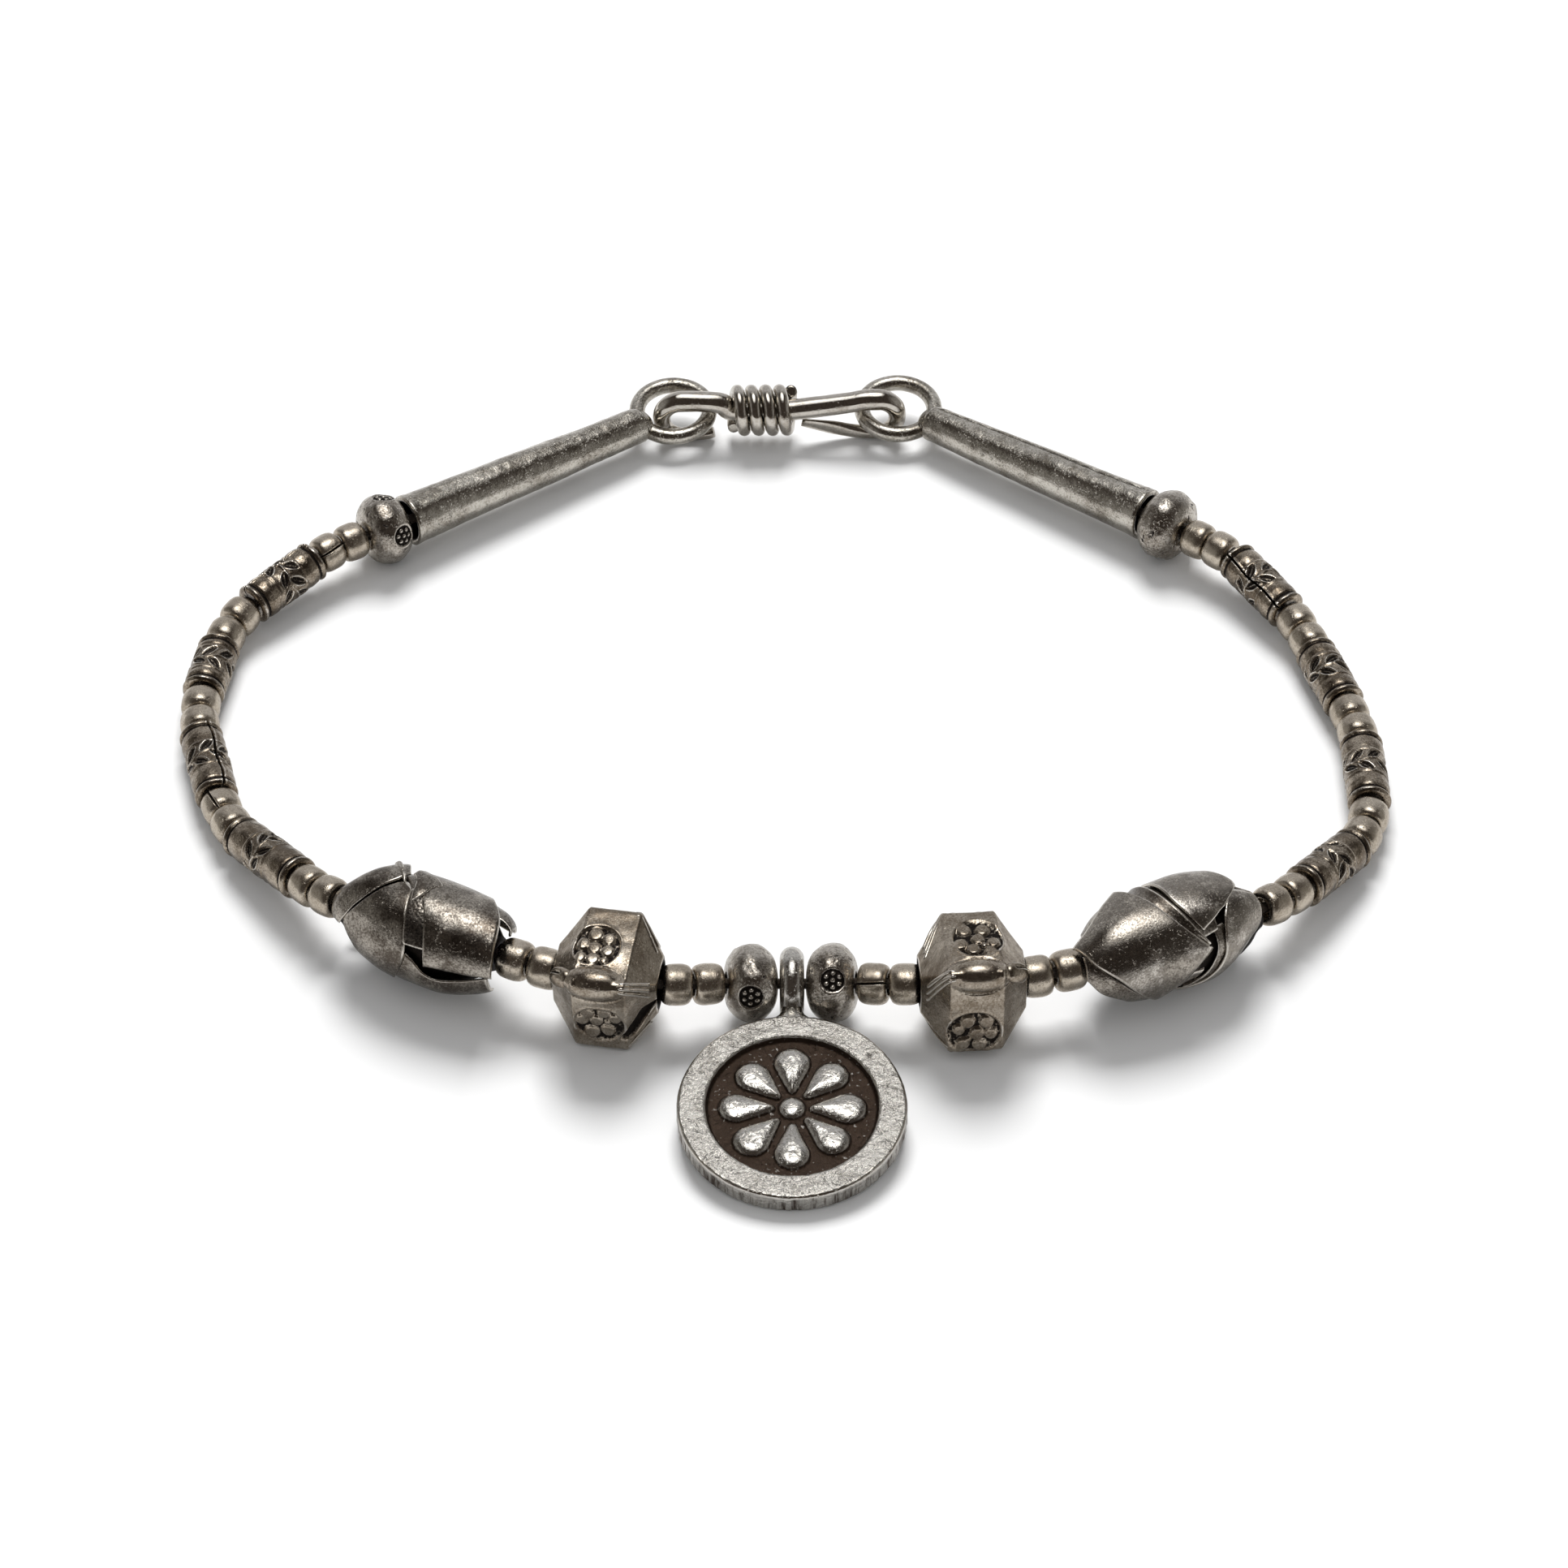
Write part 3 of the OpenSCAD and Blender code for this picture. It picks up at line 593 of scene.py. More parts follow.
def box_rows(length):
    """Rows of (x, half width, corner cut, roundness) along the outside, and the rows of the bore."""
    half_way = [
        (0.12, BORE_R, 0.5, 1), (0.12, 1.12, 0.5, 1), (-0.3, 1.2, 0.5, 1), (-0.42, 1.25, 0.4, 0.6),
        (-0.4, 1.34, 0.3, 0.1), (1.04, BOX_HALF - 0.05, 0.3, 0), (1.14, BOX_HALF, 0.28, 0),
        (length / 2, BOX_HALF, 0.28, 0),
    ]
    stations = half_way + [(length - x, half, cut, ring) for x, half, cut, ring in half_way[-2::-1]]
    rows = through_stations(stations, 0.075)
    bore = through_stations([rows[-1], (length - 0.6, BORE_R, 0.5, 1), (0.6, BORE_R, 0.5, 1), rows[0]], 1.2)
    return rows, bore[1:-1]


def stamped_field(field, middle, across, base, seed):
    """How far the skin is pressed in by a punched field of dots, how dark it is, and its raised border."""
    u, v = middle - field["at"][0], across - field["at"][1]
    away = np.hypot(u / field["half"][0], v / field["half"][1])
    away = np.maximum(away, v / field["flat"])
    sunk = 1 - ease(away, 0.93, 1.0)
    dots = np.zeros_like(away)
    for dot_u, dot_v, size in field["dots"]:
        near = np.hypot((middle - dot_u) / DOT_HALF[0], (across - dot_v) / DOT_HALF[1]) / size
        dome = 0.72 + 0.28 * np.sqrt(np.clip(1 - near ** 2, 0, 1))
        dots = np.maximum(dots, dome * (1 - ease(near, 0.72, 1.12)))
    dots = dots * ease(sunk, 0.1, 0.4)
    grains = ease(speckle(base, 0.13, seed + 6), 0.1, 0.6) * (1 - ease(dots, 0.0, 0.2))
    press = sunk * (FIELD_DEEP * (1 - dots) - GRAIN_DEEP * grains)
    lip = line_at(away - 1.05, 0.05)
    dark = 0.8 * sunk * (1 - ease(dots, 0.05, 0.4)) * (1 - 0.5 * grains)
    return press - 0.03 * lip, dark - 0.55 * sunk * ease(dots, 0.6, 0.95)


def faceted_form(length, side, seed):
    """A box folded from sheet: sloping ends, a pod along a long edge, and a stamped field on each face."""
    left = side < 0
    rows, bore = box_rows(length)
    outer = np.concatenate([np.ones(len(rows)), np.zeros(len(bore))])[:, None]
    rows = np.vstack([rows, bore])
    x, half, cut, ring = (rows[:, k][:, None] for k in range(4))
    angle = round_turn(296)
    radius = half * ring + squared(angle, half, cut) * (1 - ring)
    skin = outer * (1 - ease(ring, 0.0, 0.3))
    base = from_polar(x, radius, angle)
    middle = x - length / 2
    lift = skin * lumps(base, seed, (0.03, 1.2), (0.008, 0.35))
    deep = np.where(skin > 0.5, 0.0, 0.85) * np.ones_like(radius)
    faces = ((180, LEFT_TOP), (90, LEFT_FRONT)) if left else ((90, RIGHT_TOP), (180, RIGHT_FRONT))
    for turned in (0, 180):
        for facing, field in faces:
            way = math.radians(facing + turned)
            out = base[..., 1] * math.cos(way) + base[..., 2] * math.sin(way)
            sideways = base[..., 2] * math.cos(way) - base[..., 1] * math.sin(way)
            down = sideways if facing > RIDGE_AT else -sideways
            on_face = skin * (np.abs(sideways) < out + 0.02)
            hollow = np.exp(-((down + 1.6) / 0.8) ** 2) * ease(np.abs(middle), 2.5, 1.2)
            press, dark = stamped_field(field, middle, BOX_HALF + down, base, seed)
            held = on_face * ease(np.abs(middle), 2.6, 2.1)
            lift = lift - FACE_HOLLOW * on_face * hollow - press * held
            deep = np.where(held > 0, np.maximum(deep, dark * held) + np.minimum(dark, 0) * held, deep)
            if field is LEFT_FRONT:
                lift, deep = with_gash(lift, deep, middle, down, on_face)
        swing = angle_from(angle, math.radians(RIDGE_AT + turned))
        lift, deep = with_pod(lift, deep, radius, middle, swing, skin, 0.25 if left else 0.15)
    form = lathed(x, radius + lift, angle, deep)
    for quarter in range(4):
        add_folds(form, turn(45 + 90 * quarter, "X"), 0.15 if left else -0.75)
    for about in (turn(45, "X"), turn(225, "X")):
        add_tab(form, about, side)
    form.dent(0.5, 0.012, seed + 9)
    return form


def with_gash(lift, deep, middle, down, on_face):
    """Sinks an open gash beside the field, where the sheet is torn, and raises the flap along it."""
    slant = -middle - 2.1 + 0.62 * (down - 0.7)
    reach = 1 - ease(np.abs(down - 0.75), 0.85, 1.15)
    gash = on_face * (1 - ease(np.abs(slant), 0.28, 0.46)) * reach
    flap = on_face * line_at(slant - 0.62, 0.17) * reach
    return lift - GASH_DEEP * gash + FLAP_HIGH * flap, np.maximum(deep, 0.95 * gash)


def with_pod(lift, deep, radius, middle, swing, skin, shifted):
    """Raises a pod-shaped ridge over a long edge, with a crease round it."""
    share = np.clip((middle - shifted) / POD_HALF, -1, 1)
    pod_r = POD_R * (1 - np.abs(share) ** 2.1) ** 0.72
    centre = BOX_HALF * math.sqrt(2) - POD_R - 0.06
    inside = pod_r ** 2 - (centre * np.sin(swing)) ** 2
    near = np.abs(swing) < 0.6
    pod = np.where(near & (inside > 0), centre * np.cos(swing) + np.sqrt(np.clip(inside, 0, None)), 0)
    raised = np.where(skin > 0, np.maximum(lift, pod - radius), lift)
    rubbed = ease(raised - lift, 0.02, 0.25)
    edge = line_at(np.abs(centre * np.sin(swing)) - pod_r - 0.05, 0.06) * (pod_r > 0.1) * near * skin
    return raised - 0.06 * edge, np.maximum(deep, 0.5 * edge) - POD_RUBBED * rubbed


# A fold's rows of (distance along the bead from its middle, height over the string), and how it fans out
FOLD_LINE = np.array([(1.45, 3.8), (1.1, 3.76), (0.7, 3.25), (0.3, 2.66), (-0.1, 2.08)])
FOLD_FAN = np.array([0.8, 1, 1.1, 1.25, 1.4])
FOLD_LEAN = np.array([0, 0, 0.25, 0.6, 1.0])
FOLD_THICK = 0.22


def add_folds(form, about, lean):
    """Thin folded edges where the sheet closes, fanning out towards the bail end of a long edge."""
    x, up = FOLD_LINE.T
    for off in (-0.25, 0.0, 0.25):
        spread = off * FOLD_FAN + lean * FOLD_LEAN
        high = up + 0.1 - 0.9 * np.maximum(np.abs(spread) - 0.12, 0)
        foot = np.stack([x, spread, high - 0.4], -1)
        crest = np.stack([x - 0.03, spread, high + 0.05], -1)
        form.sheet(turned_up(smooth_net(np.stack([foot, crest], 1), 26, 7), about), FOLD_THICK)


def add_tab(form, about, side):
    """The rolled end of the sheet, which pokes out with a dark slot at the far end of the pod."""
    swing = np.linspace(0.05, math.pi - 0.05, 26)[:, None]
    angle = round_turn(44)
    along = -0.8 * np.cos(swing) * np.ones(len(angle))
    slot_at = math.radians(130 if side < 0 else 50)
    slot = line_at((angle - slot_at) * 0.45, 0.075) * ease(along, -0.3, -0.1) * (1 - ease(along, 0.66, 0.76))
    size = np.sin(swing) ** 0.6 * (1 - 0.5 * slot)
    points = np.stack([along, 0.6 * size * np.cos(angle), 0.45 * size * np.sin(angle)], -1)
    points = turned_up(points, turn(38, "Y")) + np.array([4.85, 0.1 * side, 2.85])
    form.net(turned_up(points, about), slot)


def turned_up(points, about):
    """Points turned by the turning part of a matrix."""
    return points @ about[:3, :3].T


# Panels of the woven beads as nets of (distance from the bail end, degrees round from y, radius)
LEFT_PANELS = {
    "wrapped": [
        [(3.4, 7, 3.1), (1.3, 8, 2.8), (-0.7, 11, 2.5)],
        [(3.7, 42, 3.16), (1.6, 42, 2.95), (-0.6, 45, 2.66)],
        [(4.7, 82, 3.14), (2.3, 86, 3.0), (-0.1, 90, 2.74)],
        [(6.0, 137, 3.1), (3.8, 138, 3.04), (1.4, 137, 2.85)],
        [(6.9, 190, 3.0), (4.6, 190, 2.9), (2.4, 190, 2.75)],
    ],
    "pointed": [
        [(7.4, -66, 2.6), (6.6, -60, 2.85), (5.8, -45, 3.06)],
        [(8.4, -12, 2.3), (6.6, -10, 2.84), (4.7, 5, 3.06)],
        [(9.2, 22, 1.9), (7.0, 28, 2.72), (4.6, 28, 3.06)],
        [(8.3, 52, 2.5), (6.8, 55, 2.92), (5.0, 58, 3.1)],
        [(7.0, 82, 3.0), (6.1, 97, 3.1), (5.5, 90, 3.12)],
    ],
    "rolled": [
        [(10.2, 10, 1.2), (9.9, 14, 1.6), (9.4, 12, 1.95)],
        [(10.3, 60, 1.25), (9.6, 58, 1.95), (8.6, 48, 2.3)],
        [(9.9, 100, 1.4), (8.6, 92, 2.62), (7.5, 76, 2.85)],
        [(9.0, 135, 1.95), (7.6, 118, 3.0), (6.5, 95, 3.14)],
        [(8.3, 160, 2.45), (7.0, 138, 3.2), (6.1, 108, 3.2)],
    ],
    "lower": [
        [(5.2, 20, 2.75), (5.5, -20, 2.92), (5.8, -60, 2.95)],
        [(4.2, 11, 2.92), (4.5, -25, 3.0), (4.6, -60, 3.0)],
        [(3.4, -4, 2.97), (3.4, -32, 3.02), (3.4, -60, 3.0)],
        [(2.4, -8, 2.9), (2.3, -32, 2.9), (2.2, -60, 2.85)],
        [(1.0, -3, 2.58), (0.9, -26, 2.54), (0.8, -55, 2.5)],
        [(-0.35, 8, 2.3), (-0.4, -12, 2.2), (-0.3, -40, 2.0)],
    ],
    "between": [
        [(4.7, 27, 3.16), (3.4, 26, 3.0)], [(5.05, 58, 3.2), (3.8, 60, 3.06)],
        [(5.45, 88, 3.2), (4.3, 92, 3.08)],
    ],
    "torn": [
        [(6.05, 112, 3.24), (5.9, 120, 3.26), (5.7, 126, 3.24)],
        [(5.4, 95, 3.3), (5.0, 104, 3.32), (4.7, 116, 3.26)],
        [(4.95, 68, 3.22), (4.6, 82, 3.28), (4.0, 107, 3.22)],
    ],
    "lip": [
        [(7.75, 132, 3.1), (7.45, 128, 3.32), (7.2, 122, 3.24)],
        [(6.9, 112, 3.24), (6.65, 108, 3.4), (6.45, 102, 3.28)],
        [(6.35, 98, 3.16), (6.15, 96, 3.28), (6.0, 92, 3.16)],
    ],
    "behind": [
        [(0.9, 100, 2.3), (0.1, 102, 2.2), (-0.5, 98, 1.9), (-0.7, 88, 1.7)],
        [(1.3, 140, 2.5), (0.4, 140, 2.2), (-0.2, 130, 1.9), (-0.5, 115, 1.7)],
        [(2.0, 185, 2.5), (1.0, 185, 2.2), (0.3, 180, 1.9), (-0.1, 170, 1.7)],
    ],
}
RIGHT_PANELS = {
    "diamond": [
        [(-0.9, 84, 1.5), (-0.4, 134, 2.3), (0.9, 166, 2.85), (3.4, 220, 3.05)],
        [(0.5, 66, 2.15), (1.0, 110, 2.8), (2.4, 150, 3.05), (4.5, 198, 3.08)],
        [(1.6, 54, 2.85), (2.5, 92, 3.1), (3.7, 135, 3.14), (5.5, 177, 3.12)],
        [(2.9, 44, 3.5), (3.7, 74, 3.32), (4.9, 118, 3.28), (6.6, 155, 3.2)],
    ],
    "narrow": [
        [(2.9, 36, 3.05), (3.7, 35, 3.1), (4.3, 34, 3.34)],
        [(3.3, 72, 3.05), (4.0, 72, 3.1), (4.6, 72, 3.34)],
        [(3.9, 102, 3.02), (4.5, 100, 3.08), (5.05, 98, 3.32)],
        [(4.9, 132, 2.96), (5.4, 130, 3.04), (5.8, 128, 3.24)],
        [(6.2, 155, 2.9), (6.4, 153, 2.96), (6.6, 151, 3.1)],
    ],
    "band": [
        [(3.4, 0, 2.9), (6.4, -4, 2.9)], [(3.7, 36, 3.0), (6.6, 30, 3.0)],
        [(4.2, 74, 3.02), (6.6, 70, 3.02)], [(4.9, 112, 2.98), (7.2, 106, 2.95)],
        [(5.9, 146, 2.85), (7.3, 140, 2.8)],
    ],
    "upper": [
        [(4.8, 30, 3.3), (6.6, 26, 3.34), (8.3, 20, 3.05)],
        [(5.0, 66, 3.34), (6.8, 62, 3.36), (8.8, 56, 3.0)],
        [(5.3, 100, 3.24), (7.2, 98, 3.14), (9.5, 88, 2.65)],
        [(6.3, 136, 3.1), (7.0, 128, 3.08), (8.0, 116, 2.95)],
    ],
    "far end": [
        [(9.2, 92, 2.6), (9.9, 96, 2.35), (10.4, 100, 2.0)],
        [(8.0, 120, 2.85), (9.3, 124, 2.5), (10.7, 124, 1.75)],
        [(7.6, 148, 2.85), (9.0, 152, 2.45), (10.4, 152, 1.75)],
        [(7.45, 172, 2.85), (8.6, 174, 2.5), (9.7, 171, 1.9)],
        [(6.8, 198, 2.9), (7.8, 198, 2.68), (8.8, 196, 2.25)],
        [(5.6, 226, 2.95), (6.8, 226, 2.86), (7.8, 224, 2.5)],
        [(4.6, 262, 2.9), (5.9, 262, 2.85), (7.2, 262, 2.5)],
    ],
    "under": [
        [(-0.6, 112, 1.6), (0.2, 150, 2.15), (1.2, 175, 2.6), (3.5, 225, 2.9)],
        [(-0.7, 165, 1.6), (0.0, 190, 2.1), (1.4, 210, 2.55), (3.2, 250, 2.85)],
    ],
    "inner": [
        [(7.0, 134, 2.8), (7.7, 132, 2.66)], [(7.1, 157, 2.78), (7.9, 157, 2.6)],
        [(6.9, 174, 2.78), (7.7, 174, 2.6)], [(6.3, 198, 2.82), (7.2, 198, 2.66)],
        [(5.2, 221, 2.88), (6.1, 222, 2.76)],
    ],
    "edge": [
        [(0.0, 66, 1.5), (1.3, 56, 2.4), (2.9, 36, 3.1)], [(0.3, 40, 1.6), (1.6, 20, 2.4), (3.1, 5, 2.95)],
    ],
}
BOTH_SIDES = ("wrapped", "pointed", "rolled", "diamond", "upper", "far end")
PANEL_THICK = 0.19
# How far a panel is painted dark, for oxide and for painted shade where other panels lap over it, or under 0
# rubbed bright, with painted brightness on the outer panels
PANEL_SHADE_AND_SHINE = {
    "band": 0.35, "between": 0.5, "behind": 0.35, "inner": 0.25,
    "diamond": -0.35, "upper": -0.4, "far end": -0.4,
}
# The radius of the core, painted black as the shade under the panels, at shares of its length from either end
CORE_SHARES = (0, 0.04, 0.09, 0.16, 0.3, 0.5)
CORE_RADII = (1, 1.2, 1.7, 2.1, 2.5, 2.63)


def woven_form(length, side, seed):
    """A spindle plaited from bent sheet: a core painted black as shade under overlapping panels."""
    share = np.linspace(0, 1, 40)
    core_r = np.interp(np.minimum(share, 1 - share), CORE_SHARES, CORE_RADII)
    outline = np.stack([0.1 + share * (length - 0.2), core_r], -1)
    x, radius, _, _ = bored(outline, 0.0)
    # The core is painted fully dark: painted shade in the gaps between panels
    form = lathed(x, radius, round_turn(64), 1.0)
    panels = LEFT_PANELS if side < 0 else RIGHT_PANELS
    for index, (name, panel) in enumerate(panels.items()):
        knots = np.array(panel, float)
        copies = [knots]
        if name in BOTH_SIDES:
            copies.append(behind(knots, length, 270 if side < 0 else 450))
        ragged = 1.0 if name == "torn" else 0.12
        for copy in copies:
            # Tucked-under panels get painted shade, and outer panels painted brightness, through their deep
            # mask
            form.sheet(bent_panel(copy, seed + index, ragged), PANEL_THICK, PANEL_SHADE_AND_SHINE.get(name, 0.0))
    return form


def behind(knots, length, turned):
    """A panel's knots again on the hidden side of the bead, turned end for end and a little smaller."""
    away, around, radius = np.moveaxis(knots, -1, 0)
    return np.stack([length - 0.35 - away * 0.93, turned - around, radius * 0.9], -1)


def bent_panel(knots, seed, ragged):
    """The middle of one bent panel, with dents and a border that is cut more or less unevenly."""
    away, around, radius = np.moveaxis(smooth_net(knots, 56 if len(knots) > 3 else 40, 38), -1, 0)
    u = np.linspace(-1, 1, away.shape[0])[:, None]
    v = np.linspace(-1, 1, away.shape[1])[None, :]
    radius = radius + 0.05 * (1 - u * u) * (1 - v * v) - 0.03 * (np.abs(u) ** 20 + np.abs(v) ** 20)
    flat = from_polar(away, radius, np.radians(around))
    border = np.maximum(np.abs(u), np.abs(v)) ** 8
    uneven = 0.16 * ragged * border * speckle(flat, 0.42, seed + 50)
    dents = 0.05 * speckle(flat, 2.1, seed) + 0.016 * speckle(flat, 0.6, seed + 20)
    return from_polar(away + uneven, radius + dents, np.radians(around) + uneven / 3)


# Ends and clasp

# How much of an end tube is solid at its narrow end
CONE_SOLID = 1.8


def cone_outline(length):
    """Outer rows of an end tube, wide end first, as (x, radius)."""
    return through_stations([
        (-0.04, CONE_WIDE_R - 0.22), (-0.05, CONE_WIDE_R - 0.06), (0.02, CONE_WIDE_R + 0.03),
        (0.3, CONE_WIDE_R + 0.01), (0.6, CONE_WIDE_R - 0.04), (length - 0.2, CONE_NARROW_R + 0.01),
        (length - 0.03, CONE_NARROW_R - 0.04), (length, CONE_NARROW_R - 0.2), (length + 0.02, 0.5),
    ], 0.13)


def end_tube_form(place, ring_at):
    """A long cone of rolled sheet with a lapped seam, its soldered joint and its wire ring."""
    length, seed = place["length"], place["seed"]
    outside = np.vstack([cone_outline(length), [(length + 0.02, 0.02)]])
    floor_x = length - CONE_SOLID
    inside = through_stations([(floor_x, 0.4), (floor_x, 0.75), (0.0, CONE_WIDE_R - 0.35)], 0.6)
    inside = np.vstack([[(floor_x, 0.02)], inside])
    seam_at = math.radians(75 if place["side"] < 0 else 105)
    angle = round_turn(84, seam_at, 0.3, 22)
    x, radius = outside[:, :1], outside[:, 1:]
    base = from_polar(x, radius, angle)
    off = (angle - seam_at) * CONE_WIDE_R + 0.12 * np.sin(x * 0.45) - 0.006 * x
    lap = ease(off, -0.03, 0.03) * (1 - ease(off, 0.35, 0.75))
    sheet = ease(x, 0.1, 0.5) * (1 - ease(x, length - 0.8, length - 0.2))
    lift = 0.07 * lap * sheet - 0.05 * line_at(off + 0.05, 0.05) * sheet
    lift = lift + 0.05 * speckle(base * np.array([0.5, 1, 1]), 1.6, seed) * sheet
    lift = lift + 0.014 * speckle(base, 0.4, seed + 1) * np.minimum(radius, 1)
    deep = np.clip(0.9 * line_at(off + 0.06, 0.05) * sheet, 0, 1)
    skin = np.concatenate([
        from_polar(x, radius + lift, angle), from_polar(inside[:, :1], inside[:, 1:], angle),
    ])
    form = Form()
    form.net(skin, np.concatenate([deep, np.full((len(inside), len(angle)), 0.8)]), closed_rows=True)
    to_tube = np.linalg.inv(place["matrix"])
    ring = turned_up(wire_ring(RING_MEAN_R, RING_WIRE_R, 96, 28), turn(RING_TILT, "X")) + ring_at
    form.net(turned_up(ring, to_tube) + to_tube[:3, 3], closed_rows=True)
    form.net(ball(0.62, 0.98, 0.86, 30, 40) + np.array([length + 0.1, 0, 0]), 0.1)
    form.dent(0.45, 0.01, seed + 4)
    return form


def wire_ring(mean_r, wire_r, steps, sides):
    """A ring of round wire about the z axis."""
    about = round_turn(steps)[:, None]
    round_wire = round_turn(sides)
    out = mean_r + wire_r * np.cos(round_wire)
    up = np.broadcast_to(wire_r * np.sin(round_wire), (steps, sides))
    return np.stack([out * np.cos(about), out * np.sin(about), up], -1)


def ball(half_x, half_y, half_z, rows, columns):
    """A smooth lump of solder with rows along x."""
    swing = np.linspace(0.06, math.pi - 0.06, rows)[:, None]
    angle = round_turn(columns)
    x = np.broadcast_to(-half_x * np.cos(swing), (rows, columns))
    return np.stack([x, half_y * np.sin(swing) * np.cos(angle), half_z * np.sin(swing) * np.sin(angle)], -1)


def swept(line, wide, high, sides, sideways):
    """Rings of an oval wire along a line in a plane whose normal is sideways."""
    way = np.gradient(line, axis=0)
    way /= np.linalg.norm(way, axis=1, keepdims=True)
    up = np.cross(sideways, way)
    angle = round_turn(sides)
    across = wide[:, None, None] * np.cos(angle)[None, :, None] * np.asarray(sideways)
    rise = high[:, None, None] * np.sin(angle)[None, :, None] * up[:, None, :]
    return line[:, None, :] + across + rise


LINK_TOP = 3.14
LINK_LOW = 0.47
LINK_MIDDLE = 2.35
LINK_MIDDLE_AT = -1.1
LINK_FRONT = 0.85
LINK_END_R = 0.45


def link_bend(at, start, wire_from, wire_to):
    """Rows of (x, height, wire radius) half round a bend, clockwise from the angle start in degrees."""
    bend_r = (LINK_TOP - LINK_LOW) / 2
    angles = np.radians(start - np.linspace(0, 180, 11))
    wire = np.linspace(wire_from, wire_to, 11)
    return np.stack([at + bend_r * np.cos(angles), LINK_LOW + bend_r * (1 + np.sin(angles)), wire], -1)


def link_form(left, right):
    """A wire bent down through both rings and back underneath, with a hammered tail."""
    left_at, right_at = left[0] + 0.6, right[0] - 1.4
    rows = [
        (LINK_MIDDLE_AT - 3.2, 0.62, 0.35), (LINK_MIDDLE_AT - 3.6, 0.52, 0.4),
        (left_at + 0.9, LINK_LOW + 0.01, 0.44),
        *link_bend(left_at, 270, LINK_END_R, LINK_WIRE_R),
        (left_at + 1.4, LINK_TOP - 0.02, LINK_WIRE_R), (left_at + 2.6, LINK_TOP - 0.2, LINK_WIRE_R),
        (LINK_MIDDLE_AT - 2, LINK_MIDDLE + 0.06, LINK_WIRE_R), (LINK_MIDDLE_AT, LINK_MIDDLE, LINK_WIRE_R),
        (LINK_MIDDLE_AT + 2, LINK_MIDDLE + 0.04, LINK_WIRE_R), (right_at - 2, LINK_TOP - 0.25, LINK_WIRE_R),
        (right_at - 0.9, LINK_TOP - 0.04, LINK_WIRE_R),
        *link_bend(right_at, 90, LINK_WIRE_R, LINK_END_R),
        (right_at - 1.2, LINK_LOW + 0.06, 0.425), (right_at - 2.8, LINK_LOW + 0.4, 0.375),
        (LINK_MIDDLE_AT + 2.6, LINK_LOW + 0.85, 0.2),
    ]
    run = smooth_through(rows, 5 * len(rows))
    line = np.stack([run[:, 0], np.zeros(len(run)), run[:, 1]], -1)
    tail = ease(np.arange(len(run)), len(run) - 16, len(run) - 2)
    form = Form()
    form.net(swept(line, run[:, 2] * (1 - 0.5 * tail), run[:, 2] * (1 + 0.5 * tail), 24, (0, 1, 0)))
    form.dent(0.9, 0.025, 3)
    form.dent(0.3, 0.005, 4)
    return form


def wrap_form():
    """A coil of thinner wire round the middle of the link, cut off square at both ends."""
    coil_r = LINK_WIRE_R + 0.15 + WRAP_WIRE_R
    pitch = 2 * WRAP_WIRE_R + 0.08
    count = int(WRAP_TURNS * 44)
    flat_turns = 0.16
    around = np.radians(np.linspace(0, 360 * WRAP_TURNS, count) - 100)
    turns = np.linspace(-WRAP_TURNS / 2, WRAP_TURNS / 2, count)
    x = LINK_MIDDLE_AT + pitch * np.clip(turns, flat_turns - WRAP_TURNS / 2, WRAP_TURNS / 2 - flat_turns)
    x = np.convolve(np.pad(x, 4, mode="edge"), np.full(9, 1 / 9), "valid")
    line = from_polar(x, coil_r, around) + np.array([0, 0, LINK_MIDDLE + 0.02])
    way = np.gradient(line, axis=0)
    way /= np.linalg.norm(way, axis=1, keepdims=True)
    out = from_polar(np.zeros(count), 1.0, around)
    side = np.cross(way, out)
    about = round_turn(20)[:, None]
    spokes = WRAP_WIRE_R * (np.cos(about) * out[:, None] + np.sin(about) * side[:, None])
    cuts = [line[end] + spokes[end] * share for end, share in ((0, 0.5), (0, 0.86), (-1, 0.86), (-1, 0.5))]
    form = Form()
    form.net(np.concatenate([cuts[:2], line[2:-2, None] + spokes[2:-2], cuts[2:]]))
    form.dent(0.7, 0.02, 5)
    form.dent(0.25, 0.004, 6)
    return form


# Medallion

PETALS = 8
PETAL_HIGH = 0.4
PETAL_POLISHED = 0.75
BOSS_R = 0.78
BOSS_HIGH = 0.36
RIM_IN = 4.83
FLOOR_Z = 0.85
BEVEL_RUBBED = 0.7
BAIL_MEAN_R = 1.45
BAIL_WIRE_R = 0.7


def teardrop(along, across, start_r, end_r, span):
    """Distance inside a teardrop that runs from a small circle to a large one: over 0 inside."""
    across = np.abs(across)
    lean = (start_r - end_r) / span
    straight = math.sqrt(1 - lean * lean)
    k = across * -lean + along * straight
    to_start = np.hypot(along, across) - start_r
    to_end = np.hypot(along - span, across) - end_r
    to_side = across * straight + along * lean - start_r
    return -np.where(k < 0, to_start, np.where(k > straight * span, to_end, to_side))


def disc_rows():
    """Rows of the disc's section as (radius, height), from the middle of its back to the middle in front."""
    back, front = ([(0.4, 0.0), (5.9, 0.0)], [
        (5.9, 0.0), (DISC_R - 0.1, 0.03), (DISC_R, 0.14), (DISC_R, DISC_THICK - 0.2),
        (DISC_R - 0.05, DISC_THICK - 0.07), (DISC_R - 0.17, DISC_THICK - 0.005), (RIM_IN + 0.16, DISC_THICK),
        (RIM_IN + 0.05, DISC_THICK - 0.05), (RIM_IN - 0.02, DISC_THICK - 0.16),
        (RIM_IN - 0.12, FLOOR_Z + 0.03), (RIM_IN - 0.2, FLOOR_Z), (0.06, FLOOR_Z),
    ])
    return np.vstack([through_stations(back, 0.7)[:-1], through_stations(front, 0.07)])


def domed(share, fullness):
    """The rise of a rounded form from its border, at 0, to its middle, at 1."""
    return (1 - (1 - np.clip(share, 0, 1)) ** fullness) ** 0.6


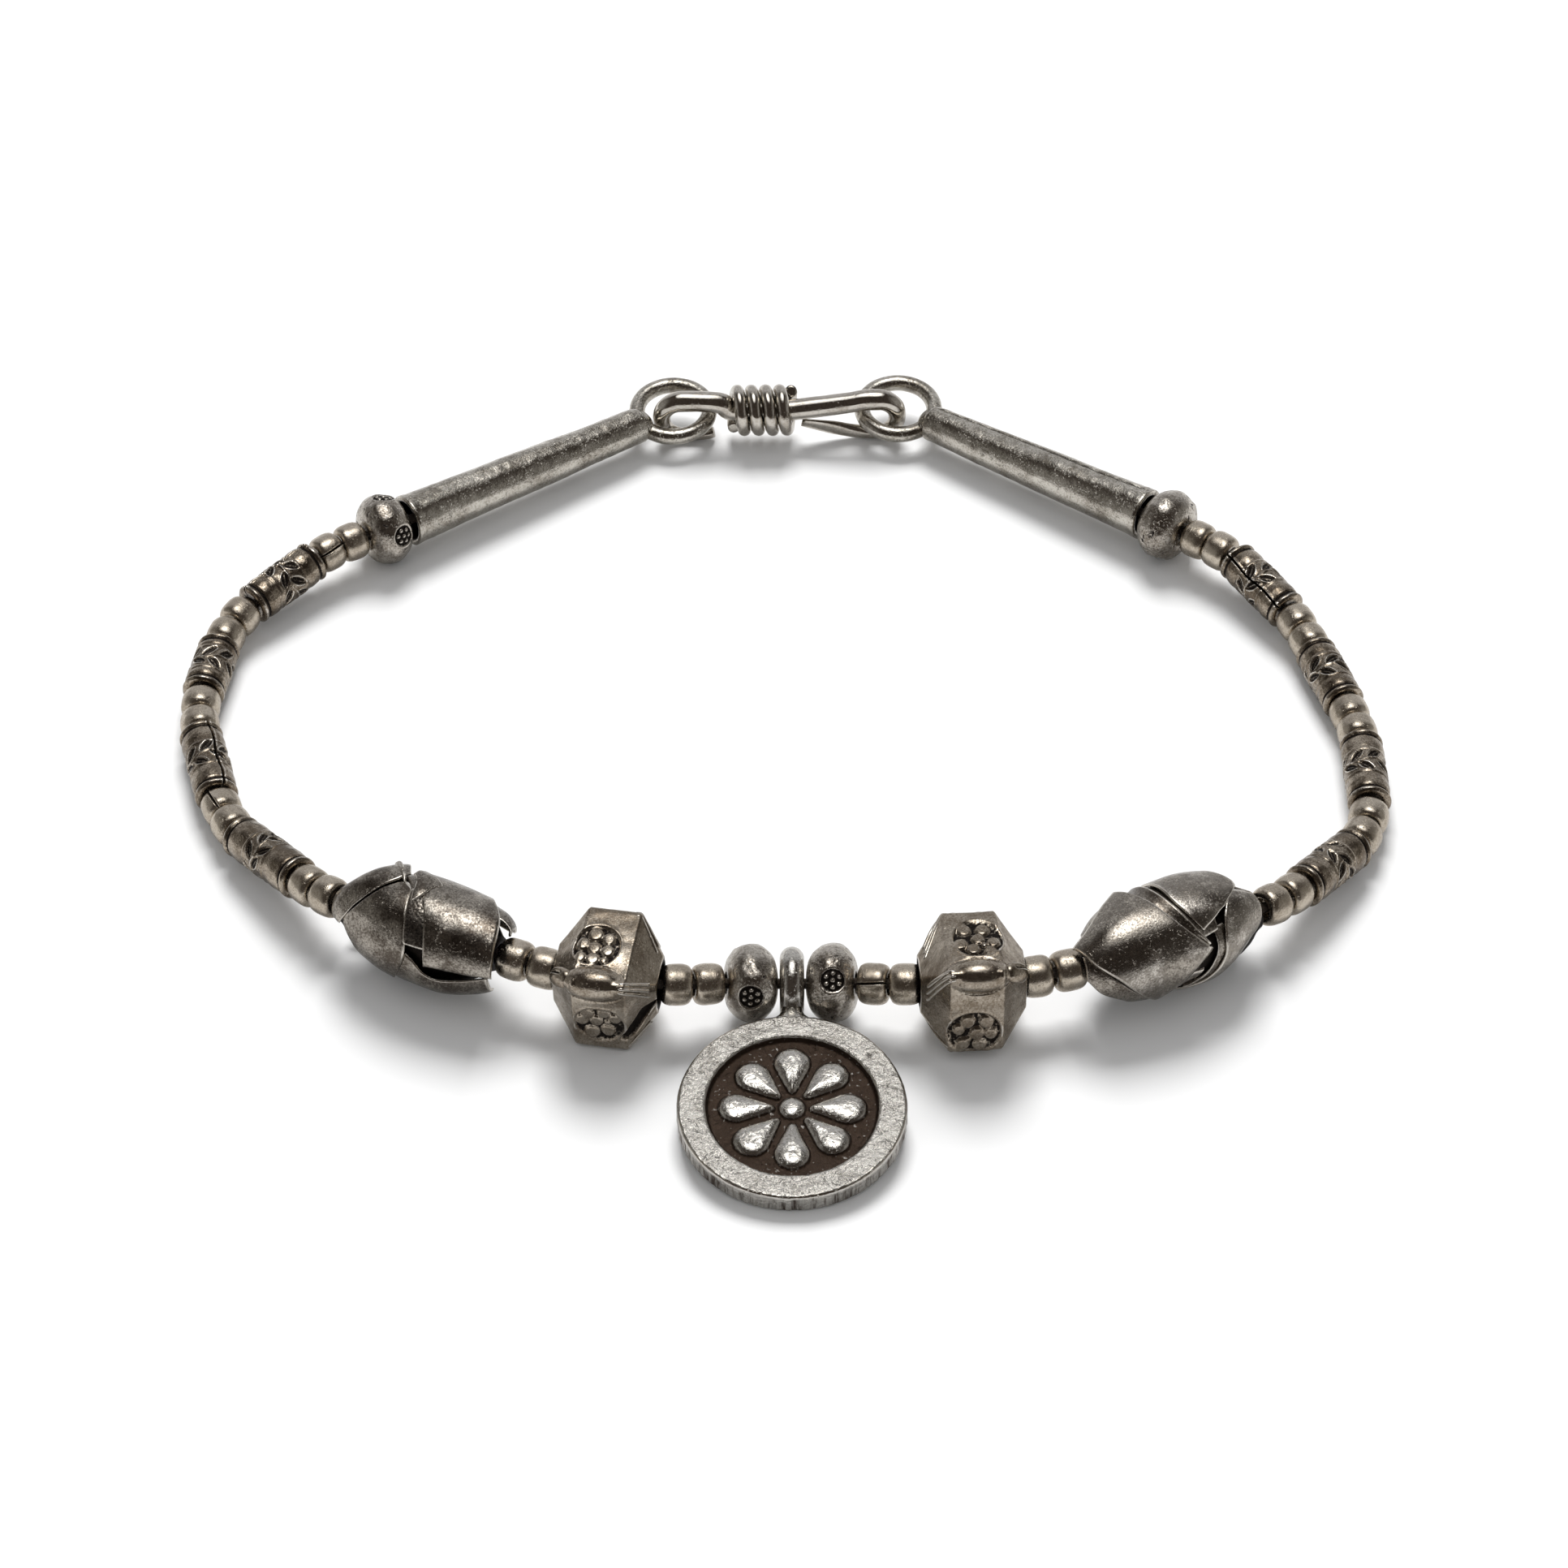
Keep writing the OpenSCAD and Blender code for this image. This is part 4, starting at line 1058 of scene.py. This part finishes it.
def flower_relief(x, y):
    """How far inside the flower each point lies, and how high the flower stands there."""
    boss = BOSS_R - np.hypot(x, y)
    flower, rise = boss, BOSS_HIGH * domed(boss / BOSS_R, 2.4)
    for k in range(PETALS):
        about = math.radians(90 + 360 / PETALS * k + 1.5 * math.sin(3.1 * k))
        along = x * math.cos(about) + y * math.sin(about) - 1.27 - 0.05 * math.sin(5 * k)
        across = -x * math.sin(about) + y * math.cos(about)
        petal = teardrop(along, across, 0.29, 1.04 + 0.04 * math.sin(2.2 * k + 1), 1.9)
        rise = np.maximum(rise, PETAL_HIGH * domed(petal / 0.9, 2.5))
        flower = np.maximum(flower, petal)
    return flower, rise


def medallion_form(seed):
    """A cast disc with a flat rim, a sunken field with a flower, a filed edge and its bail."""
    angle = round_turn(500)
    rows = disc_rows()
    ring_r, height = rows[:, :1], rows[:, 1:]
    x, y = ring_r * np.cos(angle), ring_r * np.sin(angle)
    level = np.broadcast_to(height, x.shape)
    base = np.stack([x, y, level], -1)
    plan = base * np.array([1, 1, 0])
    on_top = height > 0.8
    in_field = (ring_r < RIM_IN) & (height < DISC_THICK - 0.1) & on_top
    on_edge = (ring_r > DISC_R - 0.16) & (height < DISC_THICK - 0.06) & (height > 0.05)

    cut_marks = speckle(base * np.array([1, 1, 0.1]), 0.17, seed + 1)
    cut_from = 0.95 + 0.2 * speckle(plan, 0.35, seed + 9)
    filed = on_edge * ease(level, cut_from + 0.12, cut_from - 0.08)
    filed = filed * (0.75 + 0.25 * speckle(plan, 1.3, seed + 2))
    radius = ring_r + filed * (0.05 * cut_marks - 0.02) + (ring_r > 5.5) * 0.05 * speckle(plan, 2.3, seed + 3)

    flower, rise = flower_relief(x, y)
    sandy = lumps(base, seed + 4, (0.02, 0.2), (0.018, 0.45)) * (0.9 - 0.4 * ease(flower, -0.1, 0.1))
    pit = on_top * (1 - ease(np.hypot(x - 4.35, (y - 3.45) * 0.7), 0.03, 0.2))
    level = level + in_field * rise + on_top * sandy - 0.06 * pit

    # Painted glints: lighter specks that break up the dark of the sunken field
    painted_glints = 0.6 * ease(speckle(base, 0.13, seed + 6), 0.3, 0.9)
    field_dark = in_field * (1 - ease(flower, -0.02, 0.16)) * (1 - painted_glints)
    bevel = line_at(ring_r - DISC_R + 0.08, 0.09) * (height > DISC_THICK - 0.16) * np.ones_like(x)
    deep = np.maximum(np.maximum(filed * (0.62 - 0.4 * cut_marks), field_dark), 0.5 * pit)
    deep = np.clip(deep, 0, 1) - BEVEL_RUBBED * bevel
    polished = np.maximum(PETAL_POLISHED * in_field * ease(flower, 0.0, 0.15), bevel)

    form = Form()
    form.net(from_polar(level, radius, angle)[..., [1, 2, 0]], deep, polished)
    bail = wire_ring(BAIL_MEAN_R, BAIL_WIRE_R, 90, 32)[..., [2, 0, 1]]
    form.net(bail + np.array([0, BAIL_REACH, DISC_THICK / 2]), polished=1.0, closed_rows=True)
    form.net(bail_neck(), polished=1.0)
    form.dent(0.6, 0.014, seed + 7)
    return form


def bail_neck():
    """The flared neck of solder between the disc and its bail."""
    beyond = np.linspace(-0.75, 1.45, 34)
    wide = np.interp(beyond, [-0.75, -0.3, 0.0, 0.2, 0.45, 0.8, 1.45], [1.9, 1.5, 1.05, 0.8, 0.66, 0.6, 0.5])
    high = np.interp(beyond, [-0.75, -0.3, 0.0, 0.5, 1.45], [0.60, 0.625, 0.6, 0.54, 0.42])
    angle = round_turn(40)
    cos, sin = np.cos(angle), np.sin(angle)
    x = wide[:, None] * np.sign(cos) * np.abs(cos) ** 0.85
    z = DISC_THICK / 2 + high[:, None] * np.sign(sin) * np.abs(sin) ** 0.7
    return np.stack(np.broadcast_arrays(x, DISC_R + beyond[:, None], z), -1)


# Materials

class Wiring:
    """Short names for the nodes that a material or a group is wired from."""

    def __init__(self, tree):
        self.tree = tree

    def add(self, kind, **settings):
        node = self.tree.nodes.new("ShaderNode" + kind)
        for name, value in settings.items():
            setattr(node, name, value)
        return node

    def feed(self, socket, value):
        if isinstance(value, bpy.types.NodeSocket):
            self.tree.links.new(value, socket)
        else:
            socket.default_value = value

    def math(self, operation, first, second=0.0):
        node = self.add("Math", operation=operation)
        self.feed(node.inputs[0], first)
        self.feed(node.inputs[1], second)
        return node.outputs[0]

    def plus(self, first, *others):
        for other in others:
            first = self.math("ADD", first, other)
        return first

    def minus(self, first, second):
        return self.math("SUBTRACT", first, second)

    def times(self, first, second):
        return self.math("MULTIPLY", first, second)

    def swing(self, noise, amount):
        """A noise of 0 to 1 turned into one that swings about 0."""
        return self.times(self.minus(noise, 0.5), amount)

    def feed_named(self, node, given):
        """Feeds several inputs of a node by their names."""
        for name, value in given.items():
            self.feed(node.inputs[name], value)
        return node.outputs

    def ease(self, value, low, high, start=0.0, end=1.0):
        node = self.add("MapRange", interpolation_type="SMOOTHSTEP")
        given = {"Value": value, "From Min": low, "From Max": high, "To Min": start, "To Max": end}
        return self.feed_named(node, given)["Result"]

    def blend(self, share, first, second):
        """One colour over another. A Mix node has several inputs of each name, so these go by number."""
        first_color, second_color, mixed_color = 6, 7, 2
        node = self.add("Mix", data_type="RGBA")
        self.feed(node.inputs["Factor"], share)
        self.feed(node.inputs[first_color], first)
        self.feed(node.inputs[second_color], second)
        return node.outputs[mixed_color]

    def attribute(self, name, output="Fac"):
        return self.add("Attribute", attribute_name=name).outputs[output]

    def stretched(self, vector, factor):
        node = self.add("VectorMath", operation="MULTIPLY")
        self.feed(node.inputs[0], vector)
        self.feed(node.inputs[1], factor)
        return node.outputs[0]

    def noise(self, vector, per_mm, detail=2.0, roughness=0.5):
        given = {"Vector": vector, "Scale": per_mm, "Detail": detail, "Roughness": roughness}
        return self.feed_named(self.add("TexNoise"), given)["Fac"]

    def end(self, which):
        """The node that a group starts from or ends in."""
        return self.tree.nodes.new("NodeGroup" + which)

    def group(self, tree, given):
        """A group with its own value for each named input, and what comes out of it."""
        return self.feed_named(self.add("Group", node_tree=tree), given)

    def bump(self, shader, height):
        """Relief on a shader from a height in millimetres."""
        node = self.add("Bump")
        node.inputs["Distance"].default_value = MM
        self.feed(node.inputs["Height"], height)
        self.feed(shader["Normal"], node.outputs["Normal"])


def new_group(name, inputs, outputs):
    """A shader group with named sockets, its wiring, and the ends that it is wired between."""
    tree = bpy.data.node_groups.new(name, "ShaderNodeTree")
    for label, kind, value in inputs:
        socket = tree.interface.new_socket(name=label, in_out="INPUT", socket_type="NodeSocket" + kind)
        socket.default_value = value
    for label, kind in outputs:
        tree.interface.new_socket(name=label, in_out="OUTPUT", socket_type="NodeSocket" + kind)
    wiring = Wiring(tree)
    return tree, wiring, wiring.end("Input").outputs, wiring.end("Output").inputs


def make_tarnish():
    """Clean metal on edges, patina in patches, and black oxide in the hollows. The same dark also paints
    shade on the woven beads' core and tucked-under panels, and the edge colour paints brightness on their
    outer panels.
    """
    tree, wiring, given, result = new_group("tarnish", [
        ("Edge", "Color", (0.7, 0.66, 0.6, 1)), ("Clean", "Color", (0.5, 0.46, 0.4, 1)),
        ("Patina", "Color", (0.2, 0.16, 0.12, 1)), ("Oxide And Shade", "Color", (0.02, 0.017, 0.015, 1)),
        ("Patina Share", "Float", 0.5), ("Polish", "Float", 0.28), ("Streak", "Vector", (1.0, 1.0, 1.0)),
    ], [("Color", "Color"), ("Roughness", "Float")])
    place = wiring.attribute("place", "Vector")
    patches = wiring.noise(place, 0.6, 4.0, 0.62)
    mottle = wiring.noise(place, 4.2, 4.0, 0.7)
    specks = wiring.noise(wiring.stretched(place, given["Streak"]), 9.0, 2.0, 0.5)

    cover = wiring.plus(wiring.times(patches, 0.5), wiring.times(mottle, 0.2), wiring.times(specks, 0.3))
    low = wiring.minus(0.71, wiring.times(given["Patina Share"], 0.42))
    patina = wiring.ease(cover, wiring.minus(low, 0.15), wiring.plus(low, 0.15))
    uneven = wiring.swing(specks, 0.8)
    # The dark mask paints oxide in hollows, and painted shade on the woven beads' core and tucked-under
    # panels
    oxide_and_shade = wiring.ease(wiring.plus(wiring.attribute("deep"), uneven), 0.22, 0.72)
    rubbed = wiring.plus(uneven, wiring.swing(patches, 1.6))
    # The worn mask gives rubbed edges, and painted brightness on the outer woven panels
    worn = wiring.ease(wiring.plus(wiring.attribute("worn"), rubbed), 0.3, 0.8)
    freckles = wiring.ease(specks, 0.58, 0.7, 0.0, 0.45)

    color = wiring.blend(patina, given["Clean"], given["Patina"])
    color = wiring.blend(freckles, color, given["Patina"])
    color = wiring.blend(worn, color, given["Edge"])
    wiring.feed(result["Color"], wiring.blend(oxide_and_shade, color, given["Oxide And Shade"]))
    dulled = wiring.plus(given["Polish"], wiring.times(patina, 0.08), wiring.swing(mottle, 0.16))
    dulled = wiring.plus(dulled, wiring.times(oxide_and_shade, 0.35))
    wiring.feed(result["Roughness"], wiring.math("MAXIMUM", dulled, 0.1))
    return tree


def make_relief():
    """Height in millimetres of cast grain, small pits and fine scratches."""
    tree, wiring, given, result = new_group("relief", [
        ("Grain Size", "Float", 0.2), ("Grain", "Float", 0.01), ("Pits", "Float", 0.01),
        ("Scratches", "Float", 0.005), ("Scratch Stretch", "Vector", (1.0, 1.0, 1.0)),
    ], [("Height", "Float")])
    place = wiring.attribute("place", "Vector")
    grain = wiring.noise(place, wiring.math("DIVIDE", 1.0, given["Grain Size"]), 4.0, 0.65)
    grainy = wiring.minus(1.0, wiring.times(wiring.attribute("polished"), 0.85))
    height = wiring.times(wiring.swing(grain, given["Grain"]), grainy)

    patches = wiring.ease(wiring.noise(place, 1.1, 2.0), 0.42, 0.6)
    spots = wiring.times(wiring.ease(wiring.noise(place, 6.5, 2.0, 0.6), 0.58, 0.7), patches)
    height = wiring.minus(height, wiring.times(spots, given["Pits"]))
    scratched = wiring.noise(wiring.stretched(place, given["Scratch Stretch"]), 9.0, 3.0, 0.7)
    lines = wiring.times(wiring.ease(scratched, 0.5, 0.75), patches)
    wiring.feed(result["Height"], wiring.minus(height, wiring.times(lines, given["Scratches"])))
    return tree


TARNISH = make_tarnish()
RELIEF = make_relief()


def new_material(name):
    material = bpy.data.materials.new(name)
    material.use_nodes = True
    wiring = Wiring(material.node_tree)
    return material, wiring, material.node_tree.nodes["Principled BSDF"].inputs


# The colour of black oxide, and of the painted shade on the woven beads
OXIDE_AND_SHADE = (0.022, 0.018, 0.016)
EDGE = (0.7, 0.66, 0.6)

# Each silver's colours, its share of patina, its roughness where it is clean, the size of its grain, the
# heights of grain, pits and scratches in mm, and how scratches and streaks are stretched
FINISHES = {
    "cast_silver": {
        "clean": (0.63, 0.61, 0.57), "patina": (0.31, 0.288, 0.255), "oxide_and_shade": (0.075, 0.053, 0.04),
        "share": 0.28, "polish": 0.13, "grain_size": 0.21, "grain": 0.08, "pits": 0.03, "scratches": 0.0,
        "streak": (1, 1, 0.12),
    },
    "stamped_silver": {
        "clean": (0.66, 0.62, 0.56), "patina": (0.18, 0.15, 0.12), "share": 0.45, "polish": 0.14,
        "grain_size": 0.2, "grain": 0.024, "pits": 0.05, "scratches": 0.004,
    },
    "warm_silver": {
        "clean": (0.62, 0.555, 0.465), "patina": (0.36, 0.305, 0.24), "share": 0.45, "polish": 0.24,
        "grain_size": 0.2, "grain": 0.008, "pits": 0.012, "scratches": 0.006, "scratched": (1, 0.15, 0.15),
    },
    "sheet_silver": {
        "clean": (0.53, 0.475, 0.4), "patina": (0.2, 0.158, 0.115), "share": 0.52, "polish": 0.17,
        "grain_size": 0.2, "grain": 0.009, "pits": 0.01, "scratches": 0.003,
    },
    "woven_silver": {
        "clean": (0.55, 0.51, 0.45), "patina": (0.095, 0.078, 0.063), "share": 0.6, "polish": 0.17,
        "grain_size": 0.16, "grain": 0.012, "pits": 0.016, "scratches": 0.003, "scratched": (0.35, 1, 1),
    },
    "engraved_silver": {
        "clean": (0.57, 0.5, 0.41), "patina": (0.14, 0.109, 0.078), "share": 0.6, "polish": 0.16,
        "grain_size": 0.16, "grain": 0.008, "pits": 0.01, "scratches": 0.004, "scratched": (1, 0.2, 0.2),
    },
    "tube_silver": {
        "clean": (0.65, 0.62, 0.56), "patina": (0.21, 0.182, 0.146), "share": 0.42, "polish": 0.12,
        "grain_size": 0.16, "grain": 0.017, "pits": 0.03, "scratches": 0.004, "scratched": (0.25, 1, 1),
    },
    "silver_wire": {
        "clean": (0.64, 0.605, 0.55), "patina": (0.36, 0.32, 0.27), "share": 0.35, "polish": 0.1,
        "grain_size": 0.18, "grain": 0.004, "pits": 0.005, "scratches": 0.003,
    },
}


def silver(name, clean, patina, share, polish, grain_size, grain, pits, scratches, oxide_and_shade=OXIDE_AND_SHADE,
           scratched=(1, 1, 1), streak=(1, 1, 1)):
    """Old silver with its own tarnish and relief."""
    material, wiring, shader = new_material(name)
    shader["Metallic"].default_value = 1.0
    tarnish = wiring.group(TARNISH, {
        "Edge": (*EDGE, 1), "Clean": (*clean, 1), "Patina": (*patina, 1), "Oxide And Shade": (*oxide_and_shade, 1),
        "Patina Share": share, "Polish": polish, "Streak": streak,
    })
    wiring.feed(shader["Base Color"], tarnish["Color"])
    wiring.feed(shader["Roughness"], tarnish["Roughness"])
    relief = wiring.group(RELIEF, {
        "Grain Size": grain_size, "Grain": grain, "Pits": pits, "Scratches": scratches,
        "Scratch Stretch": scratched,
    })
    wiring.bump(shader, relief["Height"])
    return material


SILVERS = {name: silver(name, **finish) for name, finish in FINISHES.items()}


def thread_material():
    """Dark waxed thread."""
    material, wiring, shader = new_material("waxed_thread")
    place = wiring.add("TexCoord").outputs["Object"]
    strands = wiring.noise(wiring.stretched(place, (1 / MM, 1 / MM, 1 / MM)), 5.0, 3.0, 0.6)
    wiring.feed(shader["Base Color"], wiring.blend(strands, (0.02, 0.014, 0.01, 1), (0.09, 0.065, 0.045, 1)))
    wiring.feed(shader["Roughness"], wiring.ease(strands, 0.3, 0.7, 0.5, 0.8))
    wiring.bump(shader, wiring.times(strands, 0.05))
    return material


def floor_material():
    """Pale matt board, with a painted reflection: darker where the silver mirrors it."""
    material, wiring, shader = new_material("pale_board")
    place = wiring.add("TexCoord").outputs["Object"]
    mottle = wiring.noise(place, 6.0, 2.0)
    board = wiring.blend(mottle, (0.84, 0.84, 0.84, 1), (0.86, 0.86, 0.86, 1))
    # Painted reflection: a darker board colour for glossy rays only
    mirrored = wiring.add("LightPath").outputs["Is Glossy Ray"]
    wiring.feed(shader["Base Color"], wiring.blend(mirrored, board, (0.66, 0.655, 0.65, 1)))
    shader["Roughness"].default_value = 0.9
    shader["Specular IOR Level"].default_value = 0.1
    return material


# Camera, floor and light

CAMERA_RISE = math.radians(42)
CAMERA_FAR = 277 * MM
CAMERA_LENS = 105.09
LOOKED_AT = Vector((0.323 * MM, -1.47 * MM, 0))
FLOOR_HALF = 0.9
BOX_AT = Vector((0.0, 0.785, 0.908))
BOX_SIDE = 0.55
BOX_WATTS = 17.2

DARK_ROOM = (0.05, 0.04, 0.033, 1)
# What the silver mirrors in the dark room, each glow over the ones before: its direction, the cosines of the
# angles from there at which it fades in and is full, and its colour
GLOWS = [
    ((0, 1, 0.1), 0.42, 0.85, (0.56, 0.56, 0.57, 1)),
    ((1, 0, 0), 0.6, 0.95, (0.28, 0.27, 0.255, 1)),
    ((-1, 0, 0), 0.6, 0.95, (0.28, 0.27, 0.255, 1)),
    ((0, 0.14, 0.99), math.cos(math.radians(28)), math.cos(math.radians(13)), (1.75, 1.75, 1.75, 1)),
    ((0, 0.18, 0.984), math.cos(math.radians(12)), math.cos(math.radians(6)), (7.0, 6.9, 6.7, 1)),
]


def make_camera():
    """Looks down at the bracelet from the front."""
    camera = put("camera", bpy.data.cameras.new("camera"))
    camera.location = LOOKED_AT + CAMERA_FAR * Vector((0, -math.cos(CAMERA_RISE), math.sin(CAMERA_RISE)))
    camera.rotation_euler = (math.radians(90) - CAMERA_RISE, 0, 0)
    camera.data.lens = CAMERA_LENS
    camera.data.sensor_width = 36
    camera.data.clip_start = 0.01
    bpy.context.scene.camera = camera


def make_floor():
    """One large square of pale board."""
    corners = [(x * FLOOR_HALF, y * FLOOR_HALF, 0) for x, y in ((-1, -1), (1, -1), (1, 1), (-1, 1))]
    mesh = bpy.data.meshes.new("floor")
    mesh.from_pydata(corners, [], [(0, 1, 2, 3)])
    mesh.materials.append(floor_material())
    put("floor", mesh)


def make_key_light():
    """A soft box high behind the bracelet. Its mirror image comes from the room's glows."""
    light = bpy.data.lights.new("soft_box", "AREA")
    light.shape, light.size, light.energy = "SQUARE", BOX_SIDE, BOX_WATTS
    box = put("soft_box", light)
    box.location = BOX_AT
    box.rotation_euler = (-BOX_AT).to_track_quat("-Z", "Y").to_euler()
    box.visible_glossy = False


def make_room():
    """White behind everything, even fill for matt surfaces, and a studio for what the silver mirrors."""
    world = bpy.data.worlds.new("studio")
    bpy.context.scene.world = world
    world.use_nodes = True
    wiring = Wiring(world.node_tree)
    way = wiring.add("TexCoord").outputs["Generated"]
    color = DARK_ROOM
    for direction, fades_in, full, glow in GLOWS:
        towards = wiring.add("VectorMath", operation="DOT_PRODUCT")
        wiring.feed(towards.inputs[0], way)
        towards.inputs[1].default_value = Vector(direction).normalized()
        color = wiring.blend(wiring.ease(towards.outputs["Value"], fades_in, full), color, glow)
    path = wiring.add("LightPath").outputs
    color = wiring.blend(path["Is Glossy Ray"], (0.5, 0.5, 0.5, 1), color)
    color = wiring.blend(path["Is Camera Ray"], color, (1.2, 1.2, 1.2, 1))
    wiring.feed(world.node_tree.nodes["Background"].inputs["Color"], color)


make_camera()
make_floor()
make_key_light()
make_room()
bpy.context.scene.view_settings.view_transform = "Standard"


# The bracelet

def build_bead(place):
    """The silver that stands for one bead of the string."""
    kind, length, seed = place["kind"], place["length"], place["seed"]
    if kind == "spacer_bead":
        form, slot = spacer_form(length, seed, SLITS.get(place["name"])), "warm_silver"
    elif kind == "round_bead":
        form, slot = round_form(length, seed, *STAMPS[place["name"]]), "stamped_silver"
    elif kind == "engraved_tube":
        form, slot = engraved_form(length, seed, SEAMS.get(place["name"], 90)), "engraved_silver"
    elif kind == "faceted_bead":
        form, slot = faceted_form(length, place["side"], seed), "sheet_silver"
    elif kind == "woven_bead":
        form, slot = woven_form(length, place["side"], seed), "woven_silver"
    else:
        form, slot = end_tube_form(place, ring_middle(place)), "tube_silver"
    make_piece(place["name"], form, place["matrix"], slot, seed)


def ring_middle(place):
    """The middle of the ring at the narrow end of an end tube."""
    return (place["matrix"] @ np.array([place["length"] + RING_BEYOND, 0, 0, 1]))[:3]


bead_counts = {}
left_string = string_places(LEFT, -1, bead_counts)
right_string = string_places(RIGHT, 1, bead_counts)
for bead_place in left_string + right_string:
    build_bead(bead_place)

disc_matrix = shift(*BAIL_AT, BAIL_HEIGHT) @ turn(DISC_LEAN, "X") @ shift(0, -BAIL_REACH, -DISC_THICK / 2)
make_piece("medallion", medallion_form(11), disc_matrix, "cast_silver", 3)

left_ring, right_ring = ring_middle(left_string[-1]), ring_middle(right_string[-1])
link_yaw = math.degrees(math.atan2(right_ring[1] - left_ring[1], right_ring[0] - left_ring[0]))
link_matrix = turn(link_yaw, "Z") @ shift(-left_ring[0], 0, 0)
link_matrix = shift(left_ring[0], left_ring[1] - LINK_FRONT, 0) @ link_matrix
make_piece("clasp_link", link_form(left_ring, right_ring), link_matrix, "silver_wire", 5)
make_piece("clasp_wrap", wrap_form(), link_matrix, "silver_wire", 6)

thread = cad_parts["thread"]
thread.data.materials.clear()
thread.data.materials.append(thread_material())
